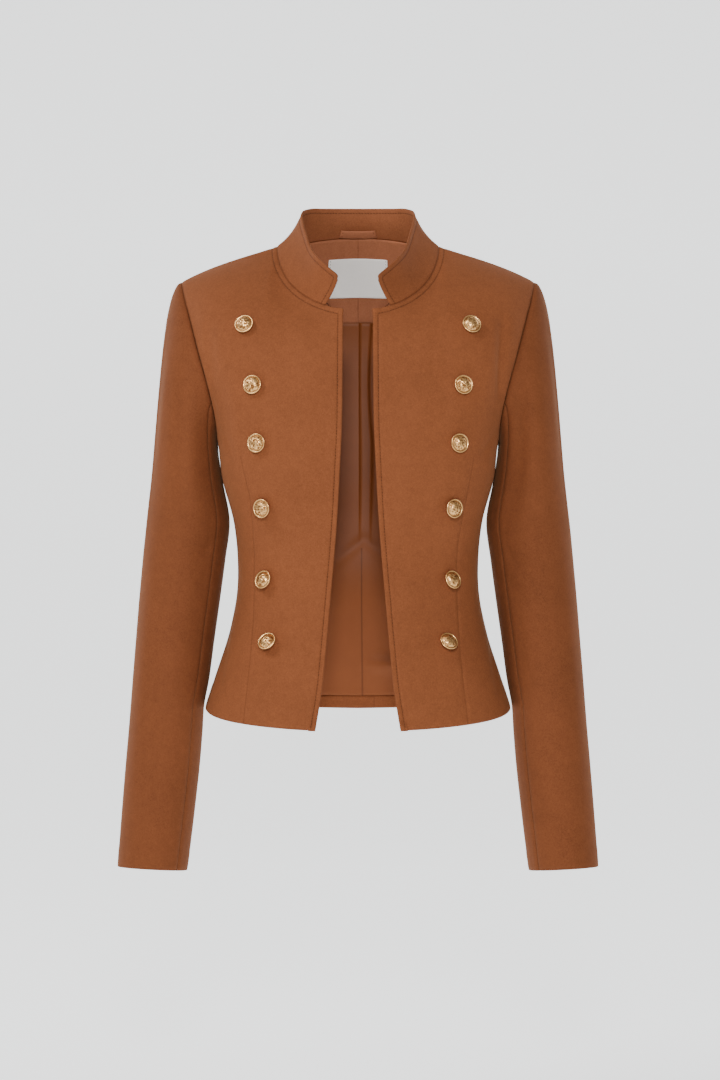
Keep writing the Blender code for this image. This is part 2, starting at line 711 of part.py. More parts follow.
def on_facets(piece, face, row, column, depth):
    """Points a given depth under a panel's own facets, at fractional rows and columns."""
    row, column = np.broadcast_arrays(np.asarray(row, float), np.asarray(column, float))
    i = np.clip(np.floor(row).astype(int), 0, piece["points"].shape[0] - 2)
    j = np.clip(np.floor(column).astype(int), 0, piece["points"].shape[1] - 2)
    s, t = (row - i)[..., None], (column - j)[..., None]

    def blend(grid):
        low = grid[i, j] * (1 - t) + grid[i, j + 1] * t
        high = grid[i + 1, j] * (1 - t) + grid[i + 1, j + 1] * t
        return low * (1 - s) + high * s

    return blend(piece[face]) - np.asarray(depth)[..., None] * unit(blend(piece["normals"]))


def inner_sheet(name, piece, row, column, depth, thickness, finish):
    """Thin wall inside a panel and its mirror image; a column below 0 is the wearer's right."""
    row, column, depth = np.broadcast_arrays(row, column, depth)
    sign = np.where(column < 0, -1.0, 1.0)[..., None] * np.array([1.0, 0.0, 0.0])
    sign = sign + np.array([0.0, 1.0, 1.0])
    walls = []
    for layer in (depth, depth + thickness):
        points = on_facets(piece, "inner", row, np.abs(column), layer)
        points[..., 0] = np.where(np.abs(column) < SMALLEST, 0.0, points[..., 0])
        walls.append(points * sign)
    wall_mesh(name, walls[0], walls[1], finish, outward=False)


def row_of_height(column, z):
    """Row at which the back panel has height z in one of its columns."""
    rows = np.linspace(0, ROWS, 40 * ROWS + 1)
    heights = body_point(BACK, 0 * rows + abs(column) / BACK_COLUMNS, rows)[..., 2]
    return float(np.interp(z, heights, rows))


def hem_facing_top(column):
    """Row of the hem facing's upper edge."""
    hem = float(body_point(BACK, abs(column) / BACK_COLUMNS, 0.0)[2])
    return row_of_height(column, hem + HEM_FACING_HEIGHT)


def make_neck_facing(back):
    """Facing inside the back neck, with its rows on the panel's rows."""
    column = np.arange(-FACING_COLUMNS, FACING_COLUMNS + 1)
    foot = row_of_height(0, FACING_FOOT_Z)
    row = np.array([foot, *range(math.ceil(foot), ROWS + 1)])[:, None]
    inner_sheet("back_neck_facing", back, row, column, INNER_GAP, FACING_CLOTH, "cloth")


def make_lining(back):
    """Back lining between the two facings, with a pleat down its centre."""
    pleat_x = np.array([PLEAT_START_X, PLEAT_START_X + PLEAT_EDGE, PLEAT_END_X - PLEAT_EDGE, PLEAT_END_X])
    pleat = pleat_x / PLEAT_COLUMN_WIDTH
    column = np.concatenate([np.arange(-LINING_COLUMNS, 1), pleat, np.arange(2, LINING_COLUMNS + 1)])
    raised = np.isin(column, pleat[1:3]) * 1.0
    top = row_of_height(0, FACING_FOOT_Z) - EDGE_GAP_ROWS
    low = np.array([hem_facing_top(at) for at in column]) + EDGE_GAP_ROWS
    rows = np.array([*range(1, math.ceil(top)), top])[:, None] + 0 * column
    row = np.concatenate([low[None], rows])
    z = on_facets(back, "inner", row, np.abs(column) + 0 * row, 0 * row)[..., 2]
    fade = np.clip((z - PLEAT_FOOT_Z) / PLEAT_FADE, 0, 1)
    inner_sheet("back_lining", back, row, column, INNER_GAP + PLEAT_RISE * fade * raised, LINING_CLOTH, "lining")


def make_hem_facing(back):
    """Hem turned up inside the back."""
    column = np.arange(-LINING_COLUMNS, LINING_COLUMNS + 1)
    top = np.array([hem_facing_top(at) for at in column]) - EDGE_GAP_ROWS
    row = EDGE_GAP_ROWS + (top - EDGE_GAP_ROWS) * np.linspace(0, 1, 3)[:, None]
    inner_sheet("back_hem_facing", back, row, column, INNER_GAP, FACING_CLOTH, "cloth")


def make_label(back):
    """Blank label sewn on the neck facing."""
    ends = np.array([LABEL_BOTTOM_Z, LABEL_TOP_Z])
    u, ends = body_place(BACK, LABEL_WIDTH / 2, ends)
    rows = np.array([ends[0], *range(math.ceil(ends[0]), math.ceil(ends[1])), ends[1]])
    edge = BACK_COLUMNS * np.interp(rows, ends, u)
    inside = np.arange(-math.floor(edge.min()), math.floor(edge.min()) + 1)
    column = np.array([[-at, *inside, at] for at in edge])
    depth = INNER_GAP + FACING_CLOTH + SEAM_GAP
    inner_sheet("label", back, rows[:, None], column, depth, LABEL_CLOTH, "label")


def make_loop(collar):
    """Hanger loop inside the collar, bowed off it between its ends."""
    x = np.linspace(-LOOP_LENGTH / 2, LOOP_LENGTH / 2, LOOP_COLUMNS + 1)
    turn = np.degrees(np.arcsin(np.abs(x) / NECK_HALF_WIDTH))
    last = collar["points"].shape[1] - 1
    away = turn / 90 * NECK_COLUMNS[BACK]
    row = COLLAR_ROWS * np.linspace(LOOP_FOOT, LOOP_FOOT + LOOP_HEIGHT / COLLAR_HEIGHT, 3)[:, None]
    bow = LOOP_STAND_OFF * np.sqrt(np.clip(np.cos(math.pi * x / LOOP_LENGTH), 0, 1))
    near, far = (on_facets(collar, "inner", row, last - away, INNER_GAP + bow + layer + 0 * row)
                 for layer in (0, LOOP_CLOTH))
    sign = np.where(x < 0, -1.0, 1.0)[:, None] * np.array([1.0, 0.0, 0.0]) + np.array([0.0, 1.0, 1.0])
    wall_mesh("hanger_loop", near * sign, far * sign, "cloth", outward=False)


def button_mesh(name, place, normal, tilt, shank):
    """Domed button with a raised rim, tilted up on a shank that stands on the cloth."""
    side = unit(np.cross(np.array([0.0, 0.0, 1.0]), normal))
    up = np.cross(normal, side)
    lean = math.radians(tilt)
    out = normal * math.cos(lean) + up * math.sin(lean)
    top = up * math.cos(lean) - normal * math.sin(lean)
    foot = place + normal * SEAM_GAP
    rings = [(foot, SHANK_RADIUS, up)]
    head = foot + out * shank
    rings += [(head + out * height, radius, top) for radius, height in BUTTON_PROFILE]
    points = []
    for middle, radius, rise in rings:
        for k in range(BUTTON_SIDES):
            turn = 2 * math.pi * k / BUTTON_SIDES
            points.append(middle + radius * (side * math.cos(turn) + rise * math.sin(turn)))
    points.append(foot)
    points.append(head + out * BUTTON_TOP)
    floor, peak = len(points) - 2, len(points) - 1
    last = (len(rings) - 1) * BUTTON_SIDES
    faces = []
    for j in range(BUTTON_SIDES):
        k = (j + 1) % BUTTON_SIDES
        faces.append((floor, k, j))
        faces.append((peak, last + j, last + k))
        for i in range(len(rings) - 1):
            a = i * BUTTON_SIDES
            faces.append((a + j, a + k, a + BUTTON_SIDES + k, a + BUTTON_SIDES + j))
    mesh = bpy.data.meshes.new(name)
    mesh.from_pydata([tuple(p * MM) for p in points], [], faces)
    add_object(name, mesh, "metal")


def make_buttons(front):
    """Two rows of six buttons on the fronts."""
    for number, (x, z, tilt, shank) in enumerate(BUTTONS, start=1):
        u, row = body_place(FRONT, x, z)
        place = on_facets(front, "outer", row, u * FRONT_COLUMNS, 0.0)
        normal = body_normal(FRONT, u, row)
        button_mesh(f"button_left_{number}", place, normal, tilt, shank)
        button_mesh(f"button_right_{number}", mirrored(place), mirrored(normal), tilt, shank)


def main():
    """Clear the scene and make every piece."""
    for thing in list(bpy.data.objects):
        bpy.data.objects.remove(thing, do_unlink=True)
    front, back, collar = make_shell()
    make_neck_facing(back)
    make_lining(back)
    make_hem_facing(back)
    make_label(back)
    make_loop(collar)
    make_buttons(front)


main()
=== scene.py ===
"""Looks of the stand collar blazer: fine cloth shells with seams, stitching, creases and buttons.

The form is worked out as in the CAD part, in millimetres, on a finer grid, and turned
into metres where a mesh is made. X runs to the wearer's left, the front faces -Y.
"""
import math

import bpy
import numpy as np
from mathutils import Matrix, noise


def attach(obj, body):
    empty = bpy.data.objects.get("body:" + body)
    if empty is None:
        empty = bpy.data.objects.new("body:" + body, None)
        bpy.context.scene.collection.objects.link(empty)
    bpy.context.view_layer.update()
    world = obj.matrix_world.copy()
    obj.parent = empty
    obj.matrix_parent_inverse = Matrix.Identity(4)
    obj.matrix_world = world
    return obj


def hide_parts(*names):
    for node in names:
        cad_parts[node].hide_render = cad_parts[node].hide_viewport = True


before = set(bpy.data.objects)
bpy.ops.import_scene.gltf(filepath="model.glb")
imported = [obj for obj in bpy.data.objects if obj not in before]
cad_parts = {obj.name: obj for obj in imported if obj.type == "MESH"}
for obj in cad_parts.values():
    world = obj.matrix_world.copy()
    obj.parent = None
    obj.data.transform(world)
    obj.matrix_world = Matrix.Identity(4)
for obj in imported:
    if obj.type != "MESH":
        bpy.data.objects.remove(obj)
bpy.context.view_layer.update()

MM = 0.001

# Short steps for slopes, and values that stand for nothing
SHORT_STEP = 0.004
PLACE_STEP = 0.01
TURN_STEP = 0.2
PLACE_ROUNDS = 30
SMALLEST = 1e-9
TINY = 1e-6

# Cloth
CLOTH = 2.0
LINING_CLOTH = 1.0
SEAM_GAP = 0.06
COLLAR_GAP = 0.1
FRONT = -1
BACK = 1
HANDS = ((1, "left"), (-1, "right"))
MITRE_FROM = 0.3
MITRE_SPAN = 0.8
LEAST_LEAN = 0.7

# Neck seam: an ellipse in plan, in a sloping plane in front and rising behind
NECK_HALF_WIDTH = 87.5
NECK_FRONT_DEPTH = 89.0
NECK_BACK_DEPTH = 62.0
NECK_FRONT_SLOPE = 0.825
NECK_BACK_RISE = 21.0
NECK_SHOULDER_RISE = 4.2
NECK_RISE_SHARPNESS = 10
NECK_CORNER_X = 16.2
COLLAR_END_X = 35.0

# Shoulder seam and armhole
TIP_X = 190.6
TIP_Y = 5.0
TIP_Z = -34.5
SHOULDER_CROWN = 5.0
SHOULDER_CROWN_POWER = 1.6
UNDERARM_Z = -205.0
CHEST_Z = -119.0
ARMHOLE_FRONT_REACH = 57.0
ARMHOLE_BACK_REACH = 60.0
ARMHOLE_EGG = 0.27

# Hem heights
HEM_SIDE_Z = -490.0
HEM_FRONT_Z = -510.0
HEM_BACK_Z = -501.5
HEM_SWEEP = 1.4

# Grid of the body panels
FRONT_COLUMNS = 16
BACK_COLUMNS = 16
NECK_COLUMNS = {FRONT: 7, BACK: 7}
LOW_ROWS = 13
MID_ROWS = 5
TOP_ROWS = 6
ROWS = LOW_ROWS + MID_ROWS + TOP_ROWS
CHEST_ROW = LOW_ROWS + MID_ROWS
PATCH_FULLNESS = 1.15
NECK_LEAN = {FRONT: 0.37, BACK: 0.6}
NECK_STEP = 6.0
SHOULDER_TIP_SLOPE = 0.25

# Grid of the sleeves: a column starts at each armhole row
SLEEVE_COLUMNS = 2 * (MID_ROWS + TOP_ROWS)
CAP_ROWS = 8
ARM_ROWS = 12
BICEP_Z = -250.0
CUFF_Z = -664.7
CUFF_TILT = 0.057
CUFF_FRONT_RISE = 0.095
UNDER_SEAM_COLUMN = 8
SEAM_SWING = 0.14

# How a sleeve leaves its armhole seam
CAP_FRONT_TURN = 0.55
CAP_TOP_SLOPE = 0.22
CAP_INNER_SLOPE = 0.3
CAP_START = 0.3
CAP_END = 1.1

COLLAR_ROWS = 4
COLLAR_HOLLOW = 3.0

# Body sections from hem to underarm
BODY_COLUMNS = ("height", "half_width", "front_depth", "back_depth", "front_square", "back_square")
BODY = (
    (-530, 177.0, 115.0, 107.0, 2.3, 2.2),
    (-490, 163.5, 111.0, 103.0, 2.3, 2.2),
    (-453, 151.5, 105.0, 97.0, 2.3, 2.2),
    (-410, 138.0, 98.0, 88.5, 2.3, 2.2),
    (-367, 130.0, 95.0, 80.0, 2.3, 2.2),
    (-335, 129.5, 98.0, 79.0, 2.4, 2.2),
    (-292, 134.0, 107.0, 86.0, 2.7, 2.3),
    (-248, 145.5, 115.0, 95.0, 3.1, 2.4),
    (-205, 151.0, 117.0, 101.0, 3.2, 2.5),
    (-162, 163.0, 113.0, 104.0, 3.1, 2.5),
    (-119, 175.0, 104.0, 104.0, 3.0, 2.5),
)

# Half of the open gap between the fronts
OPENING_COLUMNS = ("height", "half_gap")
OPENING = (
    (-530, 47.0), (-510, 44.3), (-470, 38.0), (-428, 33.8), (-365, 28.2), (-323, 24.4),
    (-281, 21.3), (-238, 19.0), (-196, 17.0), (-152, 16.4), (-72, 16.2),
)

# How far out the armhole seam lies at each height
ARMHOLE_COLUMNS = ("height", "out")
ARMHOLE = (
    (-206, 151.0), (-194, 151.2), (-181, 152.6), (-162, 156.5), (-140, 162.0), (-119, 168.0),
    (-97, 174.0), (-75, 180.0), (-54, 186.0), (-34.5, 190.6),
)

# Sleeve sections below the underarm
SLEEVE_TABLE_COLUMNS = ("height", "inner", "outer", "middle_y", "half_depth")
SLEEVE = (
    (-205, 152.3, 219.0, 4.0, 62.0),
    (-250, 146.2, 223.8, 4.0, 57.0),
    (-292, 138.8, 228.6, 4.0, 52.0),
    (-335, 143.6, 232.7, 4.0, 49.0),
    (-378, 149.3, 236.5, 3.0, 47.0),
    (-421, 155.3, 239.8, 1.0, 45.5),
    (-464, 161.0, 243.0, -2.0, 44.0),
    (-490, 165.8, 244.8, -4.0, 43.3),
    (-515, 167.3, 246.6, -6.0, 42.5),
    (-551, 170.0, 249.5, -9.0, 41.5),
    (-594, 174.5, 252.7, -13.0, 40.3),
    (-637, 179.5, 255.7, -17.0, 39.0),
    (-670, 183.8, 257.8, -20.5, 38.0),
)

# Top edge of the collar, by the turn round the neck from the centre front
COLLAR_COLUMNS = ("turn", "x", "y", "z")
COLLAR = (
    (23.6, 20.8, -92.0, -38.2),
    (40.0, 39.5, -75.0, -20.5),
    (60.0, 50.5, -52.0, -4.5),
    (75.0, 56.0, -31.0, 13.5),
    (90.0, 60.5, -8.0, 31.0),
    (105.0, 61.0, 9.0, 42.0),
    (120.0, 54.0, 24.0, 47.5),
    (140.0, 38.0, 37.0, 49.5),
    (160.0, 20.0, 43.5, 50.3),
    (180.0, 0.0, 45.0, 50.5),
)

# Buttons, two rows of six: x, z, tilt and shank
BUTTONS = (
    (118.0, -89.0, 0.0, 2.6),
    (108.5, -152.3, 0.0, 2.6),
    (104.0, -212.8, 4.0, 2.6),
    (98.0, -280.0, 16.0, 3.8),
    (96.5, -356.4, 22.0, 4.6),
    (93.0, -422.0, 22.0, 4.6),
)

# Pieces inside the back
INNER_GAP = 0.5
EDGE_GAP_ROWS = 0.02
FACING_FOOT_Z = -69.0
FACING_COLUMNS = 12
FACING_CLOTH = 1.4
LINING_COLUMNS = 15
HEM_FACING_HEIGHT = 14.0
PLEAT_START_X = 0.5
PLEAT_END_X = 13.0
PLEAT_EDGE = 2.0
PLEAT_COLUMN_WIDTH = 11.0
PLEAT_RISE = 3.0
PLEAT_FADE = 60.0
PLEAT_FOOT_Z = -319.0
LABEL_WIDTH = 66.0
LABEL_TOP_Z = -1.4
LABEL_BOTTOM_Z = -42.0
LABEL_CLOTH = 1.0
LOOP_LENGTH = 44.0
LOOP_HEIGHT = 7.5
LOOP_FOOT = 0.08
COLLAR_HEIGHT = 34.0
LOOP_CLOTH = 1.5
LOOP_STAND_OFF = 3.0
LOOP_ROWS = 9
LOOP_POINTS = 61
LOOP_CROWN = 0.5

# Finer grid: steps in each row and column of the CAD grid
ROW_STEPS = 9
TOP_ROW_STEPS = 14
FINE_TOP_ROWS = 2
COLUMN_STEPS = 6
FRONT_EDGE_STEPS = 14
CENTRE_BACK_STEPS = 8
SLEEVE_ROW_STEPS = 8
COLLAR_STEPS = 7
INNER_STEPS = 5

# Stitching, in millimetres
EDGE_STITCH_IN = 4.8
NECK_STITCH_IN = 5.6
COLLAR_STITCH_IN = 4.7
STITCH_LENGTH = 2.5
STITCH_PITCH = 3.2
STITCH_RADIUS = 0.24
STITCH_SUNK = 0.12
STITCH_SIDES = 6
# Rings of a stitch: share of its length from the middle, share of its radius, and lift
STITCH_RINGS = (
    (-0.5, 0.35, -0.3), (-0.36, 0.9, -0.02), (0.0, 1.0, 0.08), (0.36, 0.9, -0.02), (0.5, 0.35, -0.3),
)
LABEL_STITCH_COLUMNS = 1
LOOP_STITCH_COLUMNS = 3
FAR = 99.0

# Relief across a seam, a stitched line and a dart, in millimetres
SEAM_DEPTH = 0.5
SEAM_WIDTH = 1.6
PRESS_HEIGHT = 0.22
PRESS_PLACE = 5.0
PRESS_WIDTH = 2.6
STITCH_DEPTH = 0.45
STITCH_WIDTH = 1.7
DART_DEPTH = 0.7
DART_WIDTH = 1.6
FOLD_FADE = 12.0
EDGE_ROUND = 0.45
HEM_CORNER = 4.0
NECK_CORNER = 3.5
COLLAR_CORNER = 2.5

# Waist darts of the fronts, from the bust to the hem
DART_COLUMNS = ("height", "right", "left")
DARTS = (
    (-224, 122.0, 121.3), (-241, 119.0, 118.8), (-256, 116.2, 116.1), (-272, 112.9, 113.4),
    (-315, 110.4, 105.8), (-340, 110.2, 104.9), (-376, 110.3, 104.9), (-400, 111.0, 106.0),
    (-423, 112.6, 107.2), (-438, 113.6, 108.0), (-458, 115.3, 110.2), (-491, 118.6, 113.5),
    (-506, 120.0, 115.0),
)

# Waist darts of the back, not seen in the photograph
BACK_DARTS = (
    (-205, 78.0, 78.0), (-250, 74.0, 74.0), (-300, 70.0, 70.0), (-350, 68.0, 68.0),
    (-400, 71.0, 71.0), (-450, 77.0, 77.0), (-496, 84.0, 84.0),
)

# Soft folds of the body: which panel and wearer's side, two ends, depth and half width
FOLD_COLUMNS = ("panel", "hand", "x0", "z0", "x1", "z1", "depth", "width")
FOLDS = (
    (FRONT, 1, 154.0, -74.0, 149.0, -168.0, -4.4, 7.5),
    (FRONT, 1, 136.0, -92.0, 131.0, -200.0, 1.8, 13.0),
    (FRONT, 1, 86.0, -70.0, 84.0, -236.0, -1.2, 13.0),
    (FRONT, 1, 52.0, -120.0, 56.0, -330.0, 0.9, 15.0),
    (FRONT, -1, 158.0, -80.0, 152.0, -160.0, -2.0, 9.0),
    (FRONT, -1, 76.0, -52.0, 74.0, -196.0, -1.3, 12.0),
    (FRONT, -1, 132.0, -130.0, 124.0, -250.0, 1.6, 13.0),
    (FRONT, -1, 50.0, -110.0, 56.0, -330.0, 0.9, 15.0),
    (FRONT, -1, 163.0, -129.6, 154.5, -135.8, -1.3, 1.8),
    (FRONT, -1, 162.0, -150.0, 148.0, -178.0, -1.2, 6.0),
    (FRONT, 1, 149.0, -196.0, 128.0, -226.0, -1.4, 7.0),
    (FRONT, -1, 149.0, -196.0, 126.0, -222.0, -1.2, 7.0),
    (FRONT, 1, 128.0, -322.0, 92.0, -346.0, -0.9, 6.0),
    (FRONT, -1, 128.0, -318.0, 96.0, -340.0, -0.9, 6.0),
    (FRONT, 1, 126.0, -344.0, 100.0, -366.0, 0.7, 6.0),
    (FRONT, -1, 126.0, -346.0, 98.0, -362.0, 0.7, 6.0),
    (FRONT, 1, 70.0, -330.0, 84.0, -500.0, -0.8, 12.0),
    (FRONT, -1, 70.0, -330.0, 82.0, -500.0, -0.8, 12.0),
    (FRONT, 1, 138.0, -400.0, 150.0, -484.0, -1.6, 9.0),
    (FRONT, -1, 136.0, -396.0, 149.0, -484.0, -1.4, 9.0),
    (BACK, 1, 152.0, -80.0, 146.0, -176.0, -2.6, 8.0),
    (BACK, -1, 152.0, -84.0, 147.0, -170.0, -2.2, 8.0),
    (BACK, 1, 120.0, -322.0, 60.0, -338.0, -1.1, 6.0),
    (BACK, -1, 120.0, -326.0, 64.0, -346.0, -1.1, 6.0),
    (BACK, 1, 112.0, -350.0, 66.0, -360.0, 0.8, 6.0),
    (BACK, -1, 112.0, -354.0, 60.0, -366.0, 0.8, 6.0),
    (BACK, 1, 40.0, -30.0, 110.0, -52.0, -0.9, 9.0),
    (BACK, -1, 40.0, -30.0, 108.0, -50.0, -0.9, 9.0),
)

# Soft folds of the sleeves, by column round and height
SLEEVE_FOLD_COLUMNS = ("hand", "column0", "z0", "column1", "z1", "depth", "width")
SLEEVE_FOLDS = (
    (-1, 5.1, -112.0, 5.4, -290.0, -2.8, 9.0),
    (1, 6.2, -140.0, 6.9, -300.0, -3.0, 10.0),
    (-1, 1.7, -66.0, 1.7, -330.0, 0.9, 3.6),
    (1, 1.7, -62.0, 1.7, -310.0, 0.9, 3.6),
    (-1, 0.5, -80.0, 0.5, -320.0, -0.7, 4.0),
    (1, 0.5, -80.0, 0.5, -300.0, -0.7, 4.0),
    (-1, 3.2, -300.0, 3.4, -600.0, 1.0, 10.0),
    (1, 3.2, -300.0, 3.4, -600.0, 1.0, 10.0),
    (-1, 3.4, -90.0, 3.0, -240.0, 1.0, 9.0),
    (1, 3.2, -90.0, 3.0, -220.0, 0.9, 9.0),
    (-1, 8.6, -300.0, 6.4, -338.0, -1.6, 6.0),
    (1, 8.6, -306.0, 6.2, -346.0, -1.6, 6.0),
    (-1, 9.0, -336.0, 6.8, -362.0, -1.4, 5.5),
    (1, 9.0, -342.0, 6.6, -372.0, -1.4, 5.5),
    (-1, 8.8, -268.0, 7.0, -298.0, -1.0, 6.0),
    (1, 8.8, -272.0, 7.0, -304.0, -1.0, 6.0),
    (-1, 4.6, -420.0, 5.4, -520.0, -0.8, 9.0),
    (1, 4.8, -400.0, 5.6, -500.0, -0.8, 9.0),
    (-1, 13.4, -300.0, 16.0, -338.0, -1.4, 7.0),
    (1, 13.4, -306.0, 16.2, -342.0, -1.4, 7.0),
    (-1, 13.0, -340.0, 15.6, -368.0, -1.2, 6.0),
    (1, 13.0, -346.0, 15.4, -374.0, -1.2, 6.0),
    (-1, 3.2, -640.0, 6.8, -646.0, 0.5, 5.0),
    (1, 3.2, -640.0, 6.8, -645.0, 0.5, 5.0),
)
CUFF_HEM = 22.0
BODY_HEM = 24.0
HEM_STEP = 0.25

# Buttons: radius, height above the shank and share of relief, in millimetres
BUTTON_SIDES = 56
BUTTON_PROFILE = (
    (2.2, 0.0, 0.0), (6.0, 0.15, 0.0), (9.2, 0.5, 0.0), (9.9, 1.0, 0.0), (10.0, 1.5, 0.0),
    (9.75, 2.0, 0.0), (9.3, 2.2, 0.0), (8.75, 1.95, 0.0), (8.3, 1.5, 0.0),
    (7.9, 1.7, 0.2), (7.5, 2.4, 0.6), (7.0, 3.0, 1.0), (6.3, 3.65, 1.0), (5.6, 4.15, 1.0),
    (4.9, 4.55, 1.0), (4.2, 4.85, 1.0), (3.5, 5.1, 1.0), (2.8, 5.27, 1.0), (2.1, 5.39, 1.0),
    (1.4, 5.46, 1.0), (0.7, 5.5, 1.0),
)
SHANK_RADIUS = 2.4
GROOVE_RADIUS = 8.3
BUTTON_GAP = 0.1
BUTTON_PEAK = 5.5
BUTTON_RELIEF = 0.55
BUTTON_GRAIN = 0.62
SMALL_GRAIN = 2.1
CELL_SHARE = 0.75
SMALL_SHARE = 0.45
SEED_STEP = 3.7
GROOVE_REACH = 0.3
HOLLOW_MIDDLE = 0.4
HOLLOW_SHARE = 1.1
SHANK_WAIST = 0.8

# View and light
CAMERA_PLACE = (0.00216, -2.6, -0.3132)
CAMERA_LENS = 80.24
SENSOR = 36.0
BACKDROP = (0.737, 0.745, 0.745)
FLOOR_Z = -1.0
FLOOR_HALF_WIDTH = 8.0
FLOOR_FRONT_Y = -7.0
SWEEP_Y = 2.4
SWEEP_RADIUS = 1.5
SWEEP_FIRST_TURN = 0.1
SWEEP_STEPS = 14
BACKDROP_HEIGHT = 7.0
LIGHT_AIM = (0.0, 0.0, -0.3)
# Lights: name, x, y, z, size and power
LIGHTS = (
    ("key", -2.1, -1.4, 2.1, 1.3, 66.0),
    ("front", 0.0, -2.75, 0.45, 0.45, 57.0),
    ("rim_left", -2.0, 1.1, 0.7, 0.9, 14.0),
    ("rim_right", 2.0, 1.1, 0.9, 0.9, 12.0),
)

# Inside
FACING_WIDTH = 62.0
CUFF_FACING = 30.0
LINING_ROWS = 110
LINING_FADE = 12.0
FACING_STEPS = 10
HEM_ROWS = 6
LABEL_ROWS = 24
LABEL_COLUMNS = 40
LABEL_THICKNESS_SHARE = 0.7
# Lining: the end of the pleat, a wave near the hem and two long folds
POINT_X = 6.0
POINT_SLOPE = 0.9
POINT_RISE = 6.0
POINT_WIDTH = 7.0
POINT_REACH = 26.0
POINT_HEIGHT = 1.6
WAVE_X = 26.0
WAVE_WIDTH = 17.0
WAVE_Z = -452.0
WAVE_TALL = 9.0
WAVE_HEIGHT = 5.0
LONG_X = (-46.0, 50.0)
LONG_WIDTH = 12.0
LONG_HEIGHT = 0.9
LONG_FROM_Z = -110.0
LONG_FADE = 60.0
HEM_JOIN_X = 18.0
LINING_JOIN_X = 3.4
LEAST_CUT = 0.0105

# Width of drawn stitching, dart and seam, in millimetres, and the label's weave, in metres
LINE_WIDTHS = (1.3, 1.1, 1.5)
RIB_PITCH = 0.0009
THREAD_PITCH = 0.0007

# Colours
CLOTH_COLOUR = (0.192, 0.0585, 0.0208)
# Painted shade: the sleeves are the body cloth made darker, standing in for the shade that falls on them
SLEEVE_PAINTED_SHADE_COLOUR = (0.151, 0.045, 0.0158)
# Painted light: the self-cloth neck facing and hanger loop are the body cloth made lighter, standing in for
# light inside the jacket
FACING_PAINTED_LIGHT_COLOUR = (0.32, 0.112, 0.053)
# Painted light: the collar's inner face is the body cloth made lighter, standing in for light inside the
# collar
COLLAR_INSIDE_PAINTED_LIGHT_COLOUR = (0.255, 0.083, 0.034)
THREAD_COLOUR = (0.1, 0.028, 0.009)
LINING_COLOUR = (0.195, 0.056, 0.0165)
LABEL_COLOUR = (0.92, 0.88, 0.83)
GOLD_COLOUR = (0.87, 0.51, 0.205)
HOLLOW_COLOUR = (0.22, 0.085, 0.025)
FLOOR_GLOW = 1.6
FRONT_GLOW = 0.2
GLOW_FROM_Y = -2.0
GLOW_FULL_Y = 0.9
WORLD_LIGHT = 0.4


def unit(vectors):
    """Vectors scaled to length one."""
    return vectors / np.maximum(np.linalg.norm(vectors, axis=-1, keepdims=True), SMALLEST)


def spline(knots, values, at):
    """Smooth curve through the knots, with each knot's slope taken from its neighbours."""
    knots = np.asarray(knots, float)
    values = np.asarray(values, float)
    slopes = np.gradient(values, knots)
    at = np.clip(at, knots[0], knots[-1])
    k = np.clip(np.searchsorted(knots, at) - 1, 0, len(knots) - 2)
    step = knots[k + 1] - knots[k]
    t = (at - knots[k]) / step
    start = (1 + 2 * t) * (1 - t) ** 2 * values[k] + t * (1 - t) ** 2 * step * slopes[k]
    end = t * t * (3 - 2 * t) * values[k + 1] - t * t * (1 - t) * step * slopes[k + 1]
    return start + end


def read(table, columns, name, at):
    """One named column of a table, read smoothly at any value of its first column."""
    rows = sorted(table)
    place = columns.index(name)
    return spline([row[0] for row in rows], [row[place] for row in rows], at)


def hermite(start, start_slope, end, end_slope, t):
    """Curve from start to end that leaves and arrives with the given slopes."""
    t = t[..., None]
    return ((1 + 2 * t) * (1 - t) ** 2 * start + t * (1 - t) ** 2 * start_slope
            + t * t * (3 - 2 * t) * end - t * t * (1 - t) * end_slope)


def stack(x, y, z):
    """Points from three arrays of coordinates."""
    return np.stack(np.broadcast_arrays(x, y, z), axis=-1).astype(float)


def paired(first, second):
    """Two values as arrays of one shape."""
    return np.broadcast_arrays(np.asarray(first, float), np.asarray(second, float))


def armhole(side, gamma):
    """Armhole seam from the underarm, gamma 0, to the shoulder tip, gamma pi."""
    middle = (UNDERARM_Z + TIP_Z) / 2
    half = (TIP_Z - UNDERARM_Z) / 2
    z = middle - half * np.cos(gamma)
    reach = ARMHOLE_FRONT_REACH if side == FRONT else ARMHOLE_BACK_REACH
    rise = (z - UNDERARM_Z) / (TIP_Z - UNDERARM_Z)
    y = TIP_Y * rise + side * reach * np.sin(gamma) * (1 + ARMHOLE_EGG * np.cos(gamma))
    return stack(read(ARMHOLE, ARMHOLE_COLUMNS, "out", z), y, z)


def armhole_turn(z):
    """The gamma at which the armhole seam has height z."""
    middle = (UNDERARM_Z + TIP_Z) / 2
    half = (TIP_Z - UNDERARM_Z) / 2
    return np.arccos(np.clip((middle - z) / half, -1, 1))


def section(side, z):
    """Half width, depth and squareness of the body's section at height z."""
    name = "front" if side == FRONT else "back"
    depth = read(BODY, BODY_COLUMNS, name + "_depth", z)
    square = read(BODY, BODY_COLUMNS, name + "_square", z)
    seam = armhole(side, armhole_turn(z))
    inside = 1 - np.minimum(np.abs(seam[..., 1]) / depth, 0.99) ** square
    above = seam[..., 0] / inside ** (1 / square)
    half_width = np.where(z > UNDERARM_Z, above, read(BODY, BODY_COLUMNS, "half_width", z))
    return half_width, depth, square


def turn_of(x, half_width, square):
    """Angle round a section, from its centre, at which it is x wide."""
    share = np.minimum(np.abs(x) / half_width, 1 - SMALLEST) ** square
    return np.arctan((share / (1 - share)) ** (1 / square))


def section_point(side, turn, z):
    """Point of the body's section at height z and an angle from its centre."""
    half_width, depth, square = section(side, z)
    size = (np.sin(turn) ** square + np.maximum(np.cos(turn), 0) ** square) ** (1 / square)
    return stack(half_width * np.sin(turn) / size, side * depth * np.cos(turn) / size, z)


